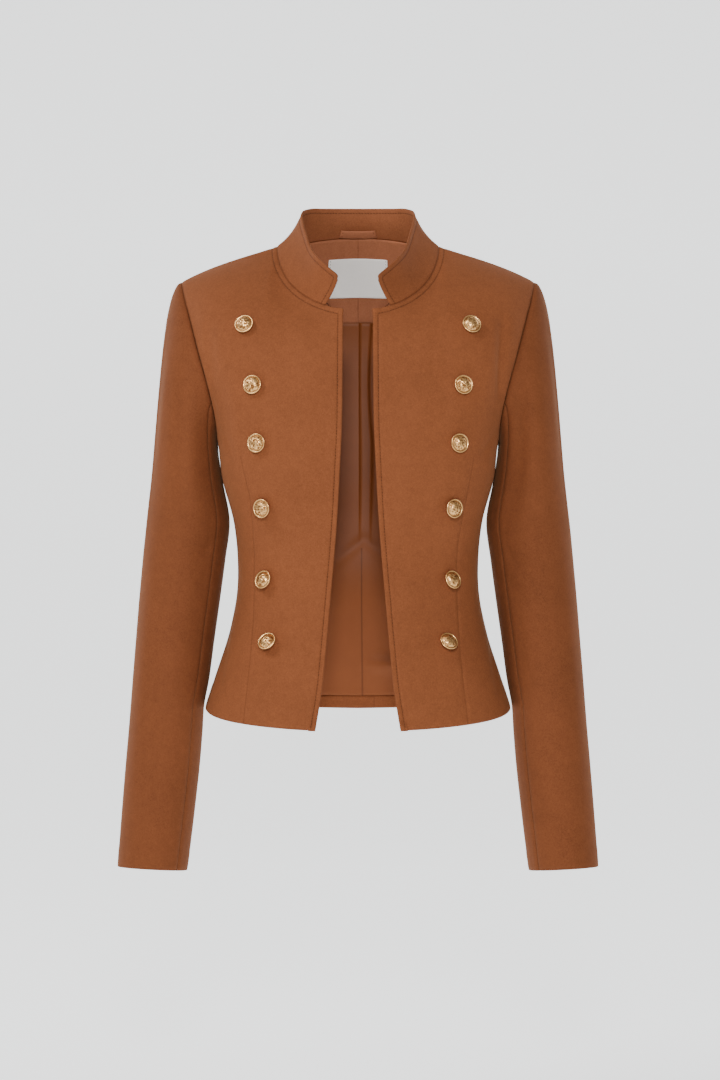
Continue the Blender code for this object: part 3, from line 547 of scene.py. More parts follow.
def side_turn(side, z):
    """Angle at which a row ends: at the side seam, or at the armhole above it."""
    half_width, _, square = section(side, z)
    out = armhole(side, armhole_turn(z))[..., 0]
    return np.where(z > UNDERARM_Z, turn_of(out, half_width, square), math.pi / 2)


def centre_turn(side, z):
    """Angle at which a row starts: the front edge, or the centre back."""
    if side == BACK:
        return np.zeros_like(z)
    half_width, _, square = section(side, z)
    return turn_of(read(OPENING, OPENING_COLUMNS, "half_gap", z), half_width, square)


def row_point(side, u, z_centre, z_side, z):
    """Point at share u of a row that runs from one height at the centre to another at the side."""
    start = centre_turn(side, z_centre)
    turn = start + (side_turn(side, z_side) - start) * u
    return section_point(side, turn, z)


def neck_point(turn):
    """Neck seam at a turn in degrees from the centre front, 0, to the centre back, 180."""
    turn = np.radians(turn)
    across = np.cos(turn)
    y = np.where(across > 0, -NECK_FRONT_DEPTH * across, -NECK_BACK_DEPTH * across)
    rise = NECK_BACK_RISE * np.maximum(-across, 0) ** 1.5
    z = np.where(across > 0, NECK_FRONT_SLOPE * y, rise)
    z = z + NECK_SHOULDER_RISE * np.sin(turn) ** NECK_RISE_SHARPNESS
    return stack(NECK_HALF_WIDTH * np.sin(turn), y, z)


def neck_turn_of(x):
    """Turn in degrees at which the front neck seam is x from the centre."""
    return math.degrees(math.asin(x / NECK_HALF_WIDTH))


def neck_turn(side, share):
    """Turn along the neck seam, from the centre to the shoulder seam, of a body panel's top."""
    if side == BACK:
        return 180 - 90 * share
    knots = (0, 1 / NECK_COLUMNS[FRONT], 1)
    return np.interp(share, knots, (neck_turn_of(NECK_CORNER_X), neck_turn_of(COLLAR_END_X), 90))


def neck_share(side):
    """Share of a panel's top row that is neck seam."""
    columns = FRONT_COLUMNS if side == FRONT else BACK_COLUMNS
    return NECK_COLUMNS[side] / columns


def shoulder_point(share):
    """Shoulder seam from the neck to the shoulder tip, crowned a little."""
    crown = SHOULDER_CROWN * 4 * share ** SHOULDER_CROWN_POWER * (1 - share)
    z = NECK_SHOULDER_RISE + (TIP_Z - NECK_SHOULDER_RISE) * share + crown
    return stack(NECK_HALF_WIDTH + (TIP_X - NECK_HALF_WIDTH) * share, TIP_Y * share, z)


def top_point(side, u):
    """Top row of a body panel: the neck seam, then the shoulder seam."""
    split = neck_share(side)
    neck = neck_point(neck_turn(side, np.clip(u / split, 0, 1)))
    shoulder = shoulder_point(np.clip((u - split) / (1 - split), 0, 1))
    return np.where((u < split)[..., None], neck, shoulder)


def neck_along(side, turn):
    """Direction of the neck seam towards the shoulder seam, taken over a few degrees."""
    ahead = np.maximum(turn - side * NECK_STEP, 90) if side == BACK else np.minimum(turn + NECK_STEP, 90)
    return unit(neck_point(ahead) - neck_point(turn + side * NECK_STEP))


def top_normal(side, u):
    """Normal of the cloth along a panel's top row."""
    split = neck_share(side)
    share = np.clip(u / split, 0, 1)
    centre = unit(stack(0 * u, -side * NECK_LEAN[side], 1))
    shoulder = unit(stack(TIP_X - NECK_HALF_WIDTH, 0 * u, TIP_Z - NECK_SHOULDER_RISE))
    across = unit(centre * (1 - share)[..., None] - shoulder * share[..., None])
    neck = side * np.cross(neck_along(side, neck_turn(side, share)), across)
    down = np.clip((u - split) / (1 - split), 0, 1)
    first = neck_along(side, 90 + 0 * u)
    last = unit(stack(0 * u, -side, SHOULDER_TIP_SLOPE))
    along = unit(first + (last - first) * (down * (2 - down))[..., None])
    top = -side * np.cross(shoulder, along)
    return unit(np.where((u < split)[..., None], -neck, top))


def hem_height(side, u):
    """Height of the hem across a panel."""
    centre = HEM_FRONT_Z if side == FRONT else HEM_BACK_Z
    return centre + (HEM_SIDE_Z - centre) * u ** HEM_SWEEP


def arrival(way, normal):
    """A way laid into the plane across a normal."""
    return unit(way - normal * np.sum(way * normal, axis=-1, keepdims=True))


def low_point(side, u, row):
    """Body below the underarm."""
    share = row / LOW_ROWS
    def height(at):
        hem = hem_height(side, at)
        return hem + (UNDERARM_Z - hem) * share
    return row_point(side, u, height(0 * u), height(0 * u + 1), height(u))


def mid_point(side, u, row):
    """Body from the underarm to the chest, where the rows end at the armhole."""
    share = (row - LOW_ROWS) / MID_ROWS
    even = UNDERARM_Z + (CHEST_Z - UNDERARM_Z) * share
    seam = armhole(side, armhole_turn(CHEST_Z) * share)[..., 2]
    return row_point(side, u, even, seam, even + (seam - even) * u ** 3)


def patch_point(side, u, row):
    """Body from the chest over to the neck and shoulder seams."""
    t = (row - CHEST_ROW) / TOP_ROWS
    level = CHEST_Z + 0 * u
    lower = level - 1.0
    foot = row_point(side, u, level, level, level)
    rise = unit(foot - row_point(side, u, lower, lower, lower))
    top = top_point(side, u)
    reach = PATCH_FULLNESS * np.linalg.norm(top - foot, axis=-1, keepdims=True)
    sheet = hermite(foot, rise * reach, top, arrival(top - foot, top_normal(side, u)) * reach, t)
    one = 0 * u + 1
    edge_foot = row_point(side, one, level, level, level)
    edge_rise = unit(edge_foot - row_point(side, one, lower, lower, lower))
    edge_top = top_point(side, one)
    edge_reach = PATCH_FULLNESS * np.linalg.norm(edge_top - edge_foot, axis=-1, keepdims=True)
    edge_end = arrival(edge_top - edge_foot, top_normal(side, one))
    edge = hermite(edge_foot, edge_rise * edge_reach, edge_top, edge_end * edge_reach, t)
    start = armhole_turn(CHEST_Z)
    seam = armhole(side, start + (math.pi - start) * t)
    return sheet + (seam - edge) * (u ** 5)[..., None]


def body_point(side, u, row):
    """Outer surface of a body panel: u across from the centre, row up from the hem."""
    u, row = paired(u, row)
    low = low_point(side, u, np.clip(row, 0, LOW_ROWS))
    mid = mid_point(side, u, np.clip(row, LOW_ROWS, CHEST_ROW))
    top = patch_point(side, u, np.clip(row, CHEST_ROW, ROWS))
    part = row[..., None]
    return np.where(part <= LOW_ROWS, low, np.where(part <= CHEST_ROW, mid, top))


def body_normal(side, u, row):
    """Outward normal of a body panel."""
    u, row = paired(u, row)
    before, after = np.maximum(u - SHORT_STEP, 0), np.minimum(u + SHORT_STEP, 1)
    across = body_point(side, after, row) - body_point(side, before, row)
    below, above = np.maximum(row - SHORT_STEP, 0), np.minimum(row + SHORT_STEP, ROWS)
    up = body_point(side, u, above) - body_point(side, u, below)
    return -side * unit(np.cross(across, up))


def body_place(side, x, z):
    """The u and row at which a body panel passes through x and z, by Newton's steps."""
    x, z = paired(x, z)
    u = np.clip(x / 150, 0.02, 0.95)
    row = np.clip((z - HEM_FRONT_Z) / (CHEST_Z - HEM_FRONT_Z) * CHEST_ROW, 0.5, ROWS - 0.5)
    e = PLACE_STEP
    for _ in range(PLACE_ROUNDS):
        here = body_point(side, u, row)
        du = (body_point(side, u + e, row) - here) / e
        dr = (body_point(side, u, row + e) - here) / e
        miss_x = x - here[..., 0]
        miss_z = z - here[..., 2]
        size = du[..., 0] * dr[..., 2] - du[..., 2] * dr[..., 0]
        u = np.clip(u + (miss_x * dr[..., 2] - miss_z * dr[..., 0]) / size, 0, 0.98)
        row = np.clip(row + (miss_z * du[..., 0] - miss_x * du[..., 2]) / size, 0, ROWS - 0.02)
    return u, row


def sleeve_ring(alpha, z):
    """Sleeve section at height z; alpha runs from the outer side, 0, through the front."""
    inner, outer, middle_y, half_depth = (read(SLEEVE, SLEEVE_TABLE_COLUMNS, name, z)
                                          for name in SLEEVE_TABLE_COLUMNS[1:])
    x = (inner + outer) / 2 + (outer - inner) / 2 * np.cos(alpha)
    y = middle_y - half_depth * np.sin(alpha)
    drop = np.clip((z - BICEP_Z) / (CUFF_Z - BICEP_Z), 0, 1)
    tilt = CUFF_TILT * (x - (inner + outer) / 2) + CUFF_FRONT_RISE * (middle_y - y)
    return stack(x, y, z + drop * tilt)


def armhole_loop(column):
    """Armhole seam at a sleeve column: the tip, down the front, the underarm, up the back."""
    half = SLEEVE_COLUMNS / 2
    fall = np.where(column <= half, column, 2 * half - column)
    start = armhole_turn(CHEST_Z)
    upper = math.pi - (math.pi - start) * fall / TOP_ROWS
    lower = start * (half - fall) / MID_ROWS
    gamma = np.where(fall <= TOP_ROWS, upper, lower)
    return np.where((column <= half)[..., None], armhole(FRONT, gamma), armhole(BACK, gamma))


def sleeve_point(column, row):
    """Outer surface of a sleeve: column round from the shoulder tip, row down from the armhole."""
    column, row = paired(column, row)
    column = np.mod(column, SLEEVE_COLUMNS)
    alpha = 2 * math.pi * column / SLEEVE_COLUMNS
    alpha = alpha - SEAM_SWING * np.sin(2 * alpha)
    seam = armhole_loop(column)
    bicep = sleeve_ring(alpha, BICEP_Z + 0 * row)
    down = unit(sleeve_ring(alpha, BICEP_Z - 1 + 0 * row) - bicep)
    fall = CAP_TOP_SLOPE + CAP_INNER_SLOPE * (1 - np.cos(alpha))
    out = unit(stack(1.0 + 0 * alpha, -CAP_FRONT_TURN * np.sin(alpha), -fall))
    reach = np.linalg.norm(bicep - seam, axis=-1, keepdims=True)
    t = np.clip(row / CAP_ROWS, 0, 1)
    cap = hermite(seam, CAP_START * reach * out, bicep, CAP_END * reach * down, t)
    z = BICEP_Z + (CUFF_Z - BICEP_Z) * np.clip((row - CAP_ROWS) / ARM_ROWS, 0, 1)
    return np.where((row <= CAP_ROWS)[..., None], cap, sleeve_ring(alpha, z))


def sleeve_normal(column, row):
    """Outward normal of a sleeve."""
    column, row = paired(column, row)
    e = PLACE_STEP
    rows = CAP_ROWS + ARM_ROWS
    around = sleeve_point(column + e, row) - sleeve_point(column - e, row)
    down = sleeve_point(column, np.minimum(row + e, rows)) - sleeve_point(column, np.maximum(row - e, 0))
    return unit(np.cross(around, down))


def collar_point(turn, share):
    """Outer surface of the collar: turn round the neck, share up from the seam to the top edge."""
    turn, share = paired(turn, share)
    foot = neck_point(turn)
    top = stack(*(read(COLLAR, COLLAR_COLUMNS, name, turn) for name in "xyz"))
    bow = np.sin(math.pi * share) * COLLAR_HOLLOW
    inward = unit(stack(-foot[..., 0], -foot[..., 1], 0 * turn))
    return foot + (top - foot) * share[..., None] + inward * bow[..., None]


def collar_normal(turn, share):
    """Outward normal of the collar."""
    turn, share = paired(turn, share)
    e = TURN_STEP
    around = collar_point(np.minimum(turn + e, 180), share) - collar_point(turn - e, share)
    up = collar_point(turn, np.minimum(share + 0.01, 1)) - collar_point(turn, np.maximum(share - 0.01, 0))
    return unit(np.cross(around, up))


def panel(points, normals):
    """A grid of outer points with the direction of its wall at each."""
    return {"points": points, "normals": normals, "wall": normals.copy(), "shift": 0 * points}


def edge_of(piece, edge, span=slice(None)):
    """Index of an edge of a grid and of the line of points beside it."""
    if edge == "top":
        return (-1, span), (-2, span)
    if edge == "bottom":
        return (0, span), (1, span)
    if edge == "start":
        return (span, 0), (span, 1)
    return (span, -1), (span, -2)


def edge_frame(piece, place, beside):
    """Points, normals and directions into the cloth along an edge."""
    points = piece["points"][place]
    along = unit(np.gradient(points, axis=0))
    inward = piece["points"][beside] - points
    inward = unit(inward - along * np.sum(inward * along, axis=-1, keepdims=True))
    return points, piece["normals"][place], inward


def join(first, first_edge, second, second_edge, turned=False, gap=SEAM_GAP):
    """Part two pieces by the seam gap along a shared edge, and mitre their walls there."""
    a_place, a_beside = edge_of(first, *first_edge)
    b_place, b_beside = edge_of(second, *second_edge)
    _, a_normal, a_in = edge_frame(first, a_place, a_beside)
    _, b_normal, b_in = edge_frame(second, b_place, b_beside)
    if turned:
        b_normal, b_in = b_normal[::-1], b_in[::-1]
    apart = unit(b_in - a_in) * gap / 2
    agree = np.clip((np.sum(a_normal * b_normal, axis=-1, keepdims=True) + MITRE_FROM) / MITRE_SPAN, 0, 1)
    first["shift"][a_place] -= apart
    first["wall"][a_place] += agree * b_normal
    if turned:
        apart, agree, a_normal = apart[::-1], agree[::-1], a_normal[::-1]
    second["shift"][b_place] += apart
    second["wall"][b_place] += agree * a_normal


def centre_edge(piece, edge):
    """Hold an edge half a seam gap from the centre line, with its wall square to it."""
    place, _ = edge_of(piece, edge)
    piece["shift"][place][..., 0] += SEAM_GAP / 2
    piece["wall"][place][..., 0] = 0


def skins(piece, thickness):
    """Outer and inner grids of a wall; a mitred corner is lengthened to keep its thickness."""
    wall = unit(piece["wall"])
    stretch = 1 / np.clip(np.sum(wall * piece["normals"], axis=-1, keepdims=True), LEAST_LEAN, 1)
    piece["outer"] = piece["points"] + piece["shift"]
    piece["inner"] = piece["outer"] - thickness * stretch * wall
    return piece["outer"], piece["inner"]


def mirrored(grid):
    """The same grid on the other side of the wearer."""
    return grid * np.array([-1.0, 1.0, 1.0])


def on_facets(piece, face, row, column, depth):
    """Points a given depth under a panel's own facets, at fractional rows and columns."""
    row, column = paired(row, column)
    i = np.clip(np.floor(row).astype(int), 0, piece["points"].shape[0] - 2)
    j = np.clip(np.floor(column).astype(int), 0, piece["points"].shape[1] - 2)
    s, t = (row - i)[..., None], (column - j)[..., None]

    def blend(grid):
        low = grid[i, j] * (1 - t) + grid[i, j + 1] * t
        high = grid[i + 1, j] * (1 - t) + grid[i + 1, j + 1] * t
        return low * (1 - s) + high * s

    return blend(piece[face]) - np.asarray(depth)[..., None] * unit(blend(piece["normals"]))


def steps(counts):
    """Fine stations along CAD rows or columns, with a number of steps in each."""
    stations = [np.arange(count) / count + place for place, count in enumerate(counts)]
    return np.concatenate([*stations, [float(len(counts))]])


ROW_STATIONS = steps([ROW_STEPS] * (ROWS - FINE_TOP_ROWS) + [TOP_ROW_STEPS] * FINE_TOP_ROWS)
FRONT_STATIONS = steps([FRONT_EDGE_STEPS] + [COLUMN_STEPS] * (FRONT_COLUMNS - 1))
BACK_STATIONS = steps([CENTRE_BACK_STEPS] + [COLUMN_STEPS] * (BACK_COLUMNS - 1))
SLEEVE_ROW_STATIONS = steps([SLEEVE_ROW_STEPS] * (CAP_ROWS + ARM_ROWS))


def index(stations, place):
    """Index of a whole CAD row or column among the fine stations."""
    return int(np.argmin(np.abs(stations - place)))


def body_panel(side, stations):
    """Fine grid of a front or a back."""
    columns = FRONT_COLUMNS if side == FRONT else BACK_COLUMNS
    u, row = np.meshgrid(stations / columns, ROW_STATIONS)
    return panel(body_point(side, u, row), body_normal(side, u, row))


def sleeve_stations():
    """Fine columns of the upper and under sleeve: one starts at each fine armhole row."""
    half = ROWS - ROW_STATIONS[ROW_STATIONS >= LOW_ROWS][::-1]
    near = half[half <= UNDER_SEAM_COLUMN + SMALLEST]
    low = half[half >= UNDER_SEAM_COLUMN - SMALLEST]
    upper = np.concatenate([-near[::-1], near[1:]])
    under = np.concatenate([low, SLEEVE_COLUMNS - low[-2::-1]])
    return upper, under


def sleeve_panel(stations):
    """Fine grid of a sleeve piece."""
    column, row = np.meshgrid(stations, SLEEVE_ROW_STATIONS)
    made = panel(sleeve_point(column, row), sleeve_normal(column, row))
    made["column"] = column
    return made


def collar_turns():
    """Turns of the collar's fine columns on one side, those of the body's neck seam."""
    front = FRONT_STATIONS[(FRONT_STATIONS >= 1) & (FRONT_STATIONS < NECK_COLUMNS[FRONT])]
    back = BACK_STATIONS[BACK_STATIONS <= NECK_COLUMNS[BACK]][::-1]
    turns = [neck_turn(FRONT, at / NECK_COLUMNS[FRONT]) for at in front]
    turns += [neck_turn(BACK, at / NECK_COLUMNS[BACK]) for at in back]
    return np.array(turns, float)


def beside(points, normals, line):
    """Signed distance of each point from a line, and the share of the line beside it."""
    flat = points.reshape(-1, 1, 3)
    start, step = line[:-1], line[1:] - line[:-1]
    square = np.maximum(np.sum(step * step, axis=-1), SMALLEST)
    t = np.clip(np.sum((flat - start) * step, axis=-1) / square, 0, 1)
    away = flat - (start + t[..., None] * step)
    reach = np.linalg.norm(away, axis=-1)
    best = np.argmin(reach, axis=1)
    rows = np.arange(len(best))
    hand = np.cross(step[best], away[rows, best])
    sign = np.sign(np.sum(hand * normals.reshape(-1, 3), axis=-1))
    share = (best + t[rows, best]) / len(step)
    return (sign * reach[rows, best]).reshape(points.shape[:-1]), share.reshape(points.shape[:-1])


def from_edge(piece, edge, span=slice(None)):
    """Distance of each point of a grid from one of its edges."""
    place, _ = edge_of(piece, edge, span)
    line = piece["points"][place]
    keep = np.unique(np.concatenate([np.arange(0, len(line), 3), [len(line) - 1]]))
    reach, _ = beside(piece["points"], piece["normals"], line[keep])
    return np.abs(reach)


def soft_fold(points, normals, line, depth, width):
    """Height of a soft trough or ridge along a line that fades out at both ends."""
    reach, share = beside(points, normals, line)
    ends = np.clip(np.sin(math.pi * np.clip(share, 0, 1)), 0, 1) ** 0.6
    return depth * ends * np.exp(-(reach / width) ** 2)


def bump_line(reach, depth, width):
    """Profile across a narrow line."""
    return depth * np.exp(-(reach / width) ** 2)


def seam_profile(seam):
    """Relief across a pressed seam."""
    pressed = bump_line(seam - PRESS_PLACE, PRESS_HEIGHT, PRESS_WIDTH)
    return pressed - bump_line(seam, SEAM_DEPTH, SEAM_WIDTH)


def hem_profile(reach, width):
    """Slight step where a hem is turned up."""
    return HEM_STEP * np.clip((width - reach) / 2, 0, 1) * np.clip(reach / 3, 0, 1)


def surface_line(side, x, z, count=40):
    """Points of a panel under a line given by its x and z."""
    share = np.linspace(0, 1, len(x))
    at = np.linspace(0, 1, count)
    u, row = body_place(side, spline(share, x, at), spline(share, z, at))
    return body_point(side, u, row)


def dart_line(side, table, hand):
    """A waist dart on one hand, from its top to the hem."""
    name = "left" if hand > 0 else "right"
    place = DART_COLUMNS.index(name)
    return surface_line(side, [row[place] for row in table], [float(row[0]) for row in table])


def measure_body(piece, side):
    """Distances of a front's or back's points from its edges and seams."""
    split = index(FRONT_STATIONS if side == FRONT else BACK_STATIONS, NECK_COLUMNS[side])
    underarm = index(ROW_STATIONS, LOW_ROWS)
    neck = from_edge(piece, "top", slice(0, split + 1))
    shoulder = from_edge(piece, "top", slice(split, None))
    side_seam = from_edge(piece, "end", slice(0, underarm + 1))
    armhole_seam = from_edge(piece, "end", slice(underarm, None))
    centre = from_edge(piece, "start")
    stitch = neck - NECK_STITCH_IN
    seam = np.minimum(np.minimum(shoulder, side_seam), armhole_seam)
    if side == FRONT:
        stitch = np.minimum(stitch, centre - EDGE_STITCH_IN)
        collar = from_edge(piece, "top", slice(index(FRONT_STATIONS, 1), split + 1))
        seam = np.minimum(seam, collar)
    else:
        seam = np.minimum(np.minimum(seam, centre), neck)
    piece.update(stitch=stitch, seam=seam, centre=centre, hem=from_edge(piece, "bottom"))


def faded(broad, reach):
    """Broad relief that dies away towards seams and edges."""
    fade = np.clip(reach / FOLD_FADE, 0, 1)
    return broad * fade * fade * (3 - 2 * fade)


def body_relief(piece, side, hand):
    """Seams, stitching, dart and soft folds of a front or back, in millimetres."""
    points, normals = piece["points"], piece["normals"]
    stitch, seam, hem = piece["stitch"], piece["seam"], piece["hem"]
    dart, share = beside(points, normals, dart_line(side, DARTS if side == FRONT else BACK_DARTS, hand))
    opening = np.clip(share / 0.12, 0, 1)
    broad = np.zeros(points.shape[:-1])
    for row in FOLDS:
        fold = dict(zip(FOLD_COLUMNS, row))
        if fold["panel"] != side or fold["hand"] != hand:
            continue
        line = surface_line(side, [fold["x0"], fold["x1"]], [fold["z0"], fold["z1"]], 12)
        broad += soft_fold(points, normals, line, fold["depth"], fold["width"])
    piece["broad"] = faded(broad, np.minimum(seam, np.minimum(hem, piece["centre"])))
    piece["fine"] = (seam_profile(seam)
                     - bump_line(stitch, STITCH_DEPTH, STITCH_WIDTH)
                     - bump_line(dart, DART_DEPTH, DART_WIDTH) * opening
                     + hem_profile(hem, BODY_HEM))
    dart = np.where(share > 0.001, dart, FAR)
    piece["lines"] = np.stack([stitch, dart, seam], axis=-1)
    piece["inner_lines"] = np.stack([stitch, 0 * dart + FAR, 0 * seam + FAR], axis=-1)


def measure_sleeve(piece):
    """Distances of a sleeve piece's points from its seams and cuff."""
    sides = np.minimum(from_edge(piece, "start"), from_edge(piece, "end"))
    piece.update(seam=np.minimum(from_edge(piece, "bottom"), sides), cuff=from_edge(piece, "top"))


def sleeve_line(fold):
    """Points of a sleeve along a soft fold."""
    at = np.linspace(0, 1, 14)
    z = fold["z0"] + (fold["z1"] - fold["z0"]) * at
    column = fold["column0"] + (fold["column1"] - fold["column0"]) * at
    rows = np.linspace(0, CAP_ROWS + ARM_ROWS, 161)
    heights = sleeve_point(column[:, None], rows[None, :])[..., 2]
    found = np.array([np.interp(-z[k], -heights[k], rows) for k in range(len(at))])
    return sleeve_point(column, found)


def sleeve_relief(piece, hand):
    """Seams and soft folds of a sleeve piece, in millimetres."""
    points, normals, seam, cuff = piece["points"], piece["normals"], piece["seam"], piece["cuff"]
    broad = np.zeros(points.shape[:-1])
    column = piece["column"][0]
    for row in SLEEVE_FOLDS:
        fold = dict(zip(SLEEVE_FOLD_COLUMNS, row))
        middle = (fold["column0"] + fold["column1"]) / 2
        if fold["hand"] == hand and column[0] - 3 <= middle <= column[-1] + 3:
            broad += soft_fold(points, normals, sleeve_line(fold), fold["depth"], fold["width"])
    piece["broad"] = faded(broad, np.minimum(seam, cuff))
    piece["fine"] = seam_profile(seam) + hem_profile(cuff, CUFF_HEM)
    piece["lines"] = np.stack([0 * seam + FAR, 0 * seam + FAR, seam], axis=-1)


def collar_relief(piece):
    """Seam and edge stitching of the collar, in millimetres."""
    seam = from_edge(piece, "bottom")
    edge = np.minimum(from_edge(piece, "top"), from_edge(piece, "start"))
    stitch = edge - COLLAR_STITCH_IN
    piece["broad"] = np.zeros_like(seam)
    piece["fine"] = -bump_line(seam, SEAM_DEPTH, SEAM_WIDTH) - bump_line(stitch, STITCH_DEPTH, STITCH_WIDTH)
    piece["lines"] = np.stack([stitch, np.full_like(seam, FAR), seam], axis=-1)
    piece["inner_lines"] = piece["lines"].copy()


def corner_rounded(piece, first, second, radius):
    """Round the corner between two edges of a grid, in its plane."""
    (a_place, a_beside), (b_place, b_beside) = edge_of(piece, first), edge_of(piece, second)
    points = piece["points"]
    corner = (0 if "bottom" in first else -1, 0 if "start" in second else -1)
    in_a = unit(points[a_beside] - points[a_place])[corner[1]]
    in_b = unit(points[b_beside] - points[b_place])[corner[0]]
    away = points - points[corner]
    a, b = away @ in_a, away @ in_b
    near = (a < radius) & (b < radius) & (np.linalg.norm(away, axis=-1) < 2 * radius)
    va, vb = np.clip(radius - a, 0, radius), np.clip(radius - b, 0, radius)
    length = np.maximum(np.hypot(va, vb), TINY)
    pull = np.where(near, 1 - np.maximum(va, vb) / length, 0)
    piece["shift"] = piece["shift"] + (pull * va)[..., None] * in_a + (pull * vb)[..., None] * in_b


def relieved(piece, thickness):
    """Outer and inner grids of a wall with its relief."""
    outer, inner = skins(piece, thickness)
    out = piece["normals"]
    broad = piece["broad"][..., None] * out
    piece["outer"] = outer + broad + piece["fine"][..., None] * out
    piece["inner"] = inner + broad
    return piece


def whole(piece):
    """A piece on the wearer's left joined with its mirror image at its last column."""
    made = {}
    for name, grid in piece.items():
        other = grid if name in ("lines", "inner_lines") else mirrored(grid)
        made[name] = np.concatenate([grid, other[:, -2::-1]], axis=1)
    return made


def placed(name, data):
    """A new object in the scene."""
    made = bpy.data.objects.new(name, data)
    bpy.context.scene.collection.objects.link(made)
    return made


def new_mesh(name, points, faces, finishes):
    """A smooth mesh with its finishes."""
    mesh = bpy.data.meshes.new(name)
    mesh.from_pydata(points, [], faces)
    mesh.shade_smooth()
    for finish in finishes:
        mesh.materials.append(finish)
    return mesh


def wall_faces(rows, columns):
    """Faces of a closed wall, and the index of its rim and of the points beside the rim."""
    grid = np.arange(rows * columns).reshape(rows, columns)
    corners = (grid[:-1, :-1], grid[:-1, 1:], grid[1:, 1:], grid[1:, :-1])
    quads = np.stack([corner.ravel() for corner in corners], axis=1)
    rim = np.concatenate([grid[0], grid[1:, -1], grid[-1, -2::-1], grid[-2:0:-1, 0]])
    inward = np.concatenate([grid[1], grid[1:, -2], grid[-2, -2::-1], grid[-2:0:-1, 1]])
    after = np.roll(rim, -1)
    middle = 2 * grid.size + np.arange(len(rim))
    middle_after = np.roll(middle, -1)
    first = np.stack([after, rim, middle, middle_after], axis=1)
    second = np.stack([middle_after, middle, rim + grid.size, after + grid.size], axis=1)
    return np.concatenate([quads, quads[:, ::-1] + grid.size, first, second]), rim, inward


def cloth_mesh(name, piece, finishes, hand=1, lining_from=None):
    """Closed wall of a piece with rounded edges; its inner skin has the second finish."""
    outer, inner = piece["outer"], piece["inner"]
    if hand < 0:
        outer, inner = mirrored(outer), mirrored(inner)
    rows, columns = outer.shape[:2]
    faces, rim, inward = wall_faces(rows, columns)
    outer, inner = outer.reshape(-1, 3), inner.reshape(-1, 3)
    away = unit(outer[rim] - outer[inward])
    middle = (outer[rim] + inner[rim]) / 2 + away * EDGE_ROUND
    points = np.concatenate([outer, inner, middle])
    if piece.get("turned", hand < 0):
        faces = faces[:, ::-1]
    mesh = new_mesh(name, (points * MM).tolist(), faces.tolist(), finishes)
    lines = piece["lines"].reshape(-1, 3)
    inner_lines = piece.get("inner_lines", np.full_like(piece["lines"], FAR)).reshape(-1, 3)
    stored = np.concatenate([lines, inner_lines, lines[rim]])
    mark = mesh.attributes.new("lines", "FLOAT_VECTOR", "POINT")
    mark.data.foreach_set("vector", stored.astype(np.float32).ravel())
    skin = (rows - 1) * (columns - 1)
    which = np.zeros(len(faces), dtype=np.int32)
    which[skin:2 * skin] = 1 if lining_from is None else lining_from.ravel()
    mesh.polygons.foreach_set("material_index", which)
    return placed(name, mesh)


def cut_size(piece):
    """Width, length and area of a piece's cut, in metres, from its form."""
    points = piece["points"]
    across = np.linalg.norm(np.diff(points, axis=1), axis=-1).sum(axis=1).max()
    along = np.linalg.norm(np.diff(points, axis=0), axis=-1).sum(axis=0).max()
    ab = points[:-1, 1:] - points[:-1, :-1]
    ad = points[1:, :-1] - points[:-1, :-1]
    cb = points[:-1, 1:] - points[1:, 1:]
    cd = points[1:, :-1] - points[1:, 1:]
    area = (np.linalg.norm(np.cross(ab, ad), axis=-1) + np.linalg.norm(np.cross(cb, cd), axis=-1)).sum() / 2
    return across * MM, along * MM, area * MM * MM


def declare(made, piece, node):
    """Ride and replace one sheet of cloth; its cut size is worked out but not used."""
    width, length, area = cut_size(piece)
    length = max(length, LEAST_CUT)
    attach(made, "root")
    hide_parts(node)


def crossing(piece, row):
    """Where the first stitching line crosses a row of a grid, from its start."""
    line = piece["lines"][row, :, 0]
    found = np.nonzero((line[:-1] < 0) & (line[1:] >= 0))[0]
    if len(found) == 0:
        return None
    j = found[0]
    return row, j, -line[j] / (line[j + 1] - line[j]), 0.0


def crossing_up(piece, column):
    """Where the first stitching line crosses a column of a grid, from its top."""
    line = piece["lines"][:, column, 0]
    found = np.nonzero((line[1:] < 0) & (line[:-1] >= 0))[0]
    if len(found) == 0:
        return None
    i = found[-1]
    return i, column, 0.0, -line[i] / (line[i + 1] - line[i])


def on_grid(piece, places, face="outer"):
    """Points and normals of a grid's face at fractional places."""
    points, normals = [], []
    for i, j, s, t in places:
        i1, j1 = i + (t > 0), j + (s > 0)
        share = s if s > 0 else t
        points.append(piece[face][i, j] * (1 - share) + piece[face][i1, j1] * share)
        normals.append(piece["normals"][i, j] * (1 - share) + piece["normals"][i1, j1] * share)
    sign = 1 if face == "outer" else -1
    return np.array(points), sign * unit(np.array(normals))


def one_stitch(line, normals, length, centre):
    """Points of one stitch, ring by ring, centred at a length along a line."""
    share, size, lift = np.array(STITCH_RINGS).T
    at = centre + share * STITCH_LENGTH
    here = np.stack([np.interp(at, length, line[:, axis]) for axis in range(3)], axis=-1)
    out = unit(np.stack([np.interp(at, length, normals[:, axis]) for axis in range(3)], axis=-1))
    side = unit(np.cross(unit(np.gradient(here, axis=0)), out))
    middle = here + out * (lift - STITCH_SUNK)[:, None]
    turns = 2 * math.pi * np.arange(STITCH_SIDES)[:, None] / STITCH_SIDES
    around = side[:, None] * np.cos(turns) + out[:, None] * np.sin(turns)
    return (middle[:, None] + STITCH_RADIUS * size[:, None, None] * around).reshape(-1, 3)


def tube_faces(base, rings, sides):
    """Faces between rings of points that follow one another."""
    faces = []
    for low in range(base, base + (rings - 1) * sides, sides):
        for j in range(sides):
            k = (j + 1) % sides
            faces.append((low + j, low + k, low + sides + k, low + sides + j))
    return faces


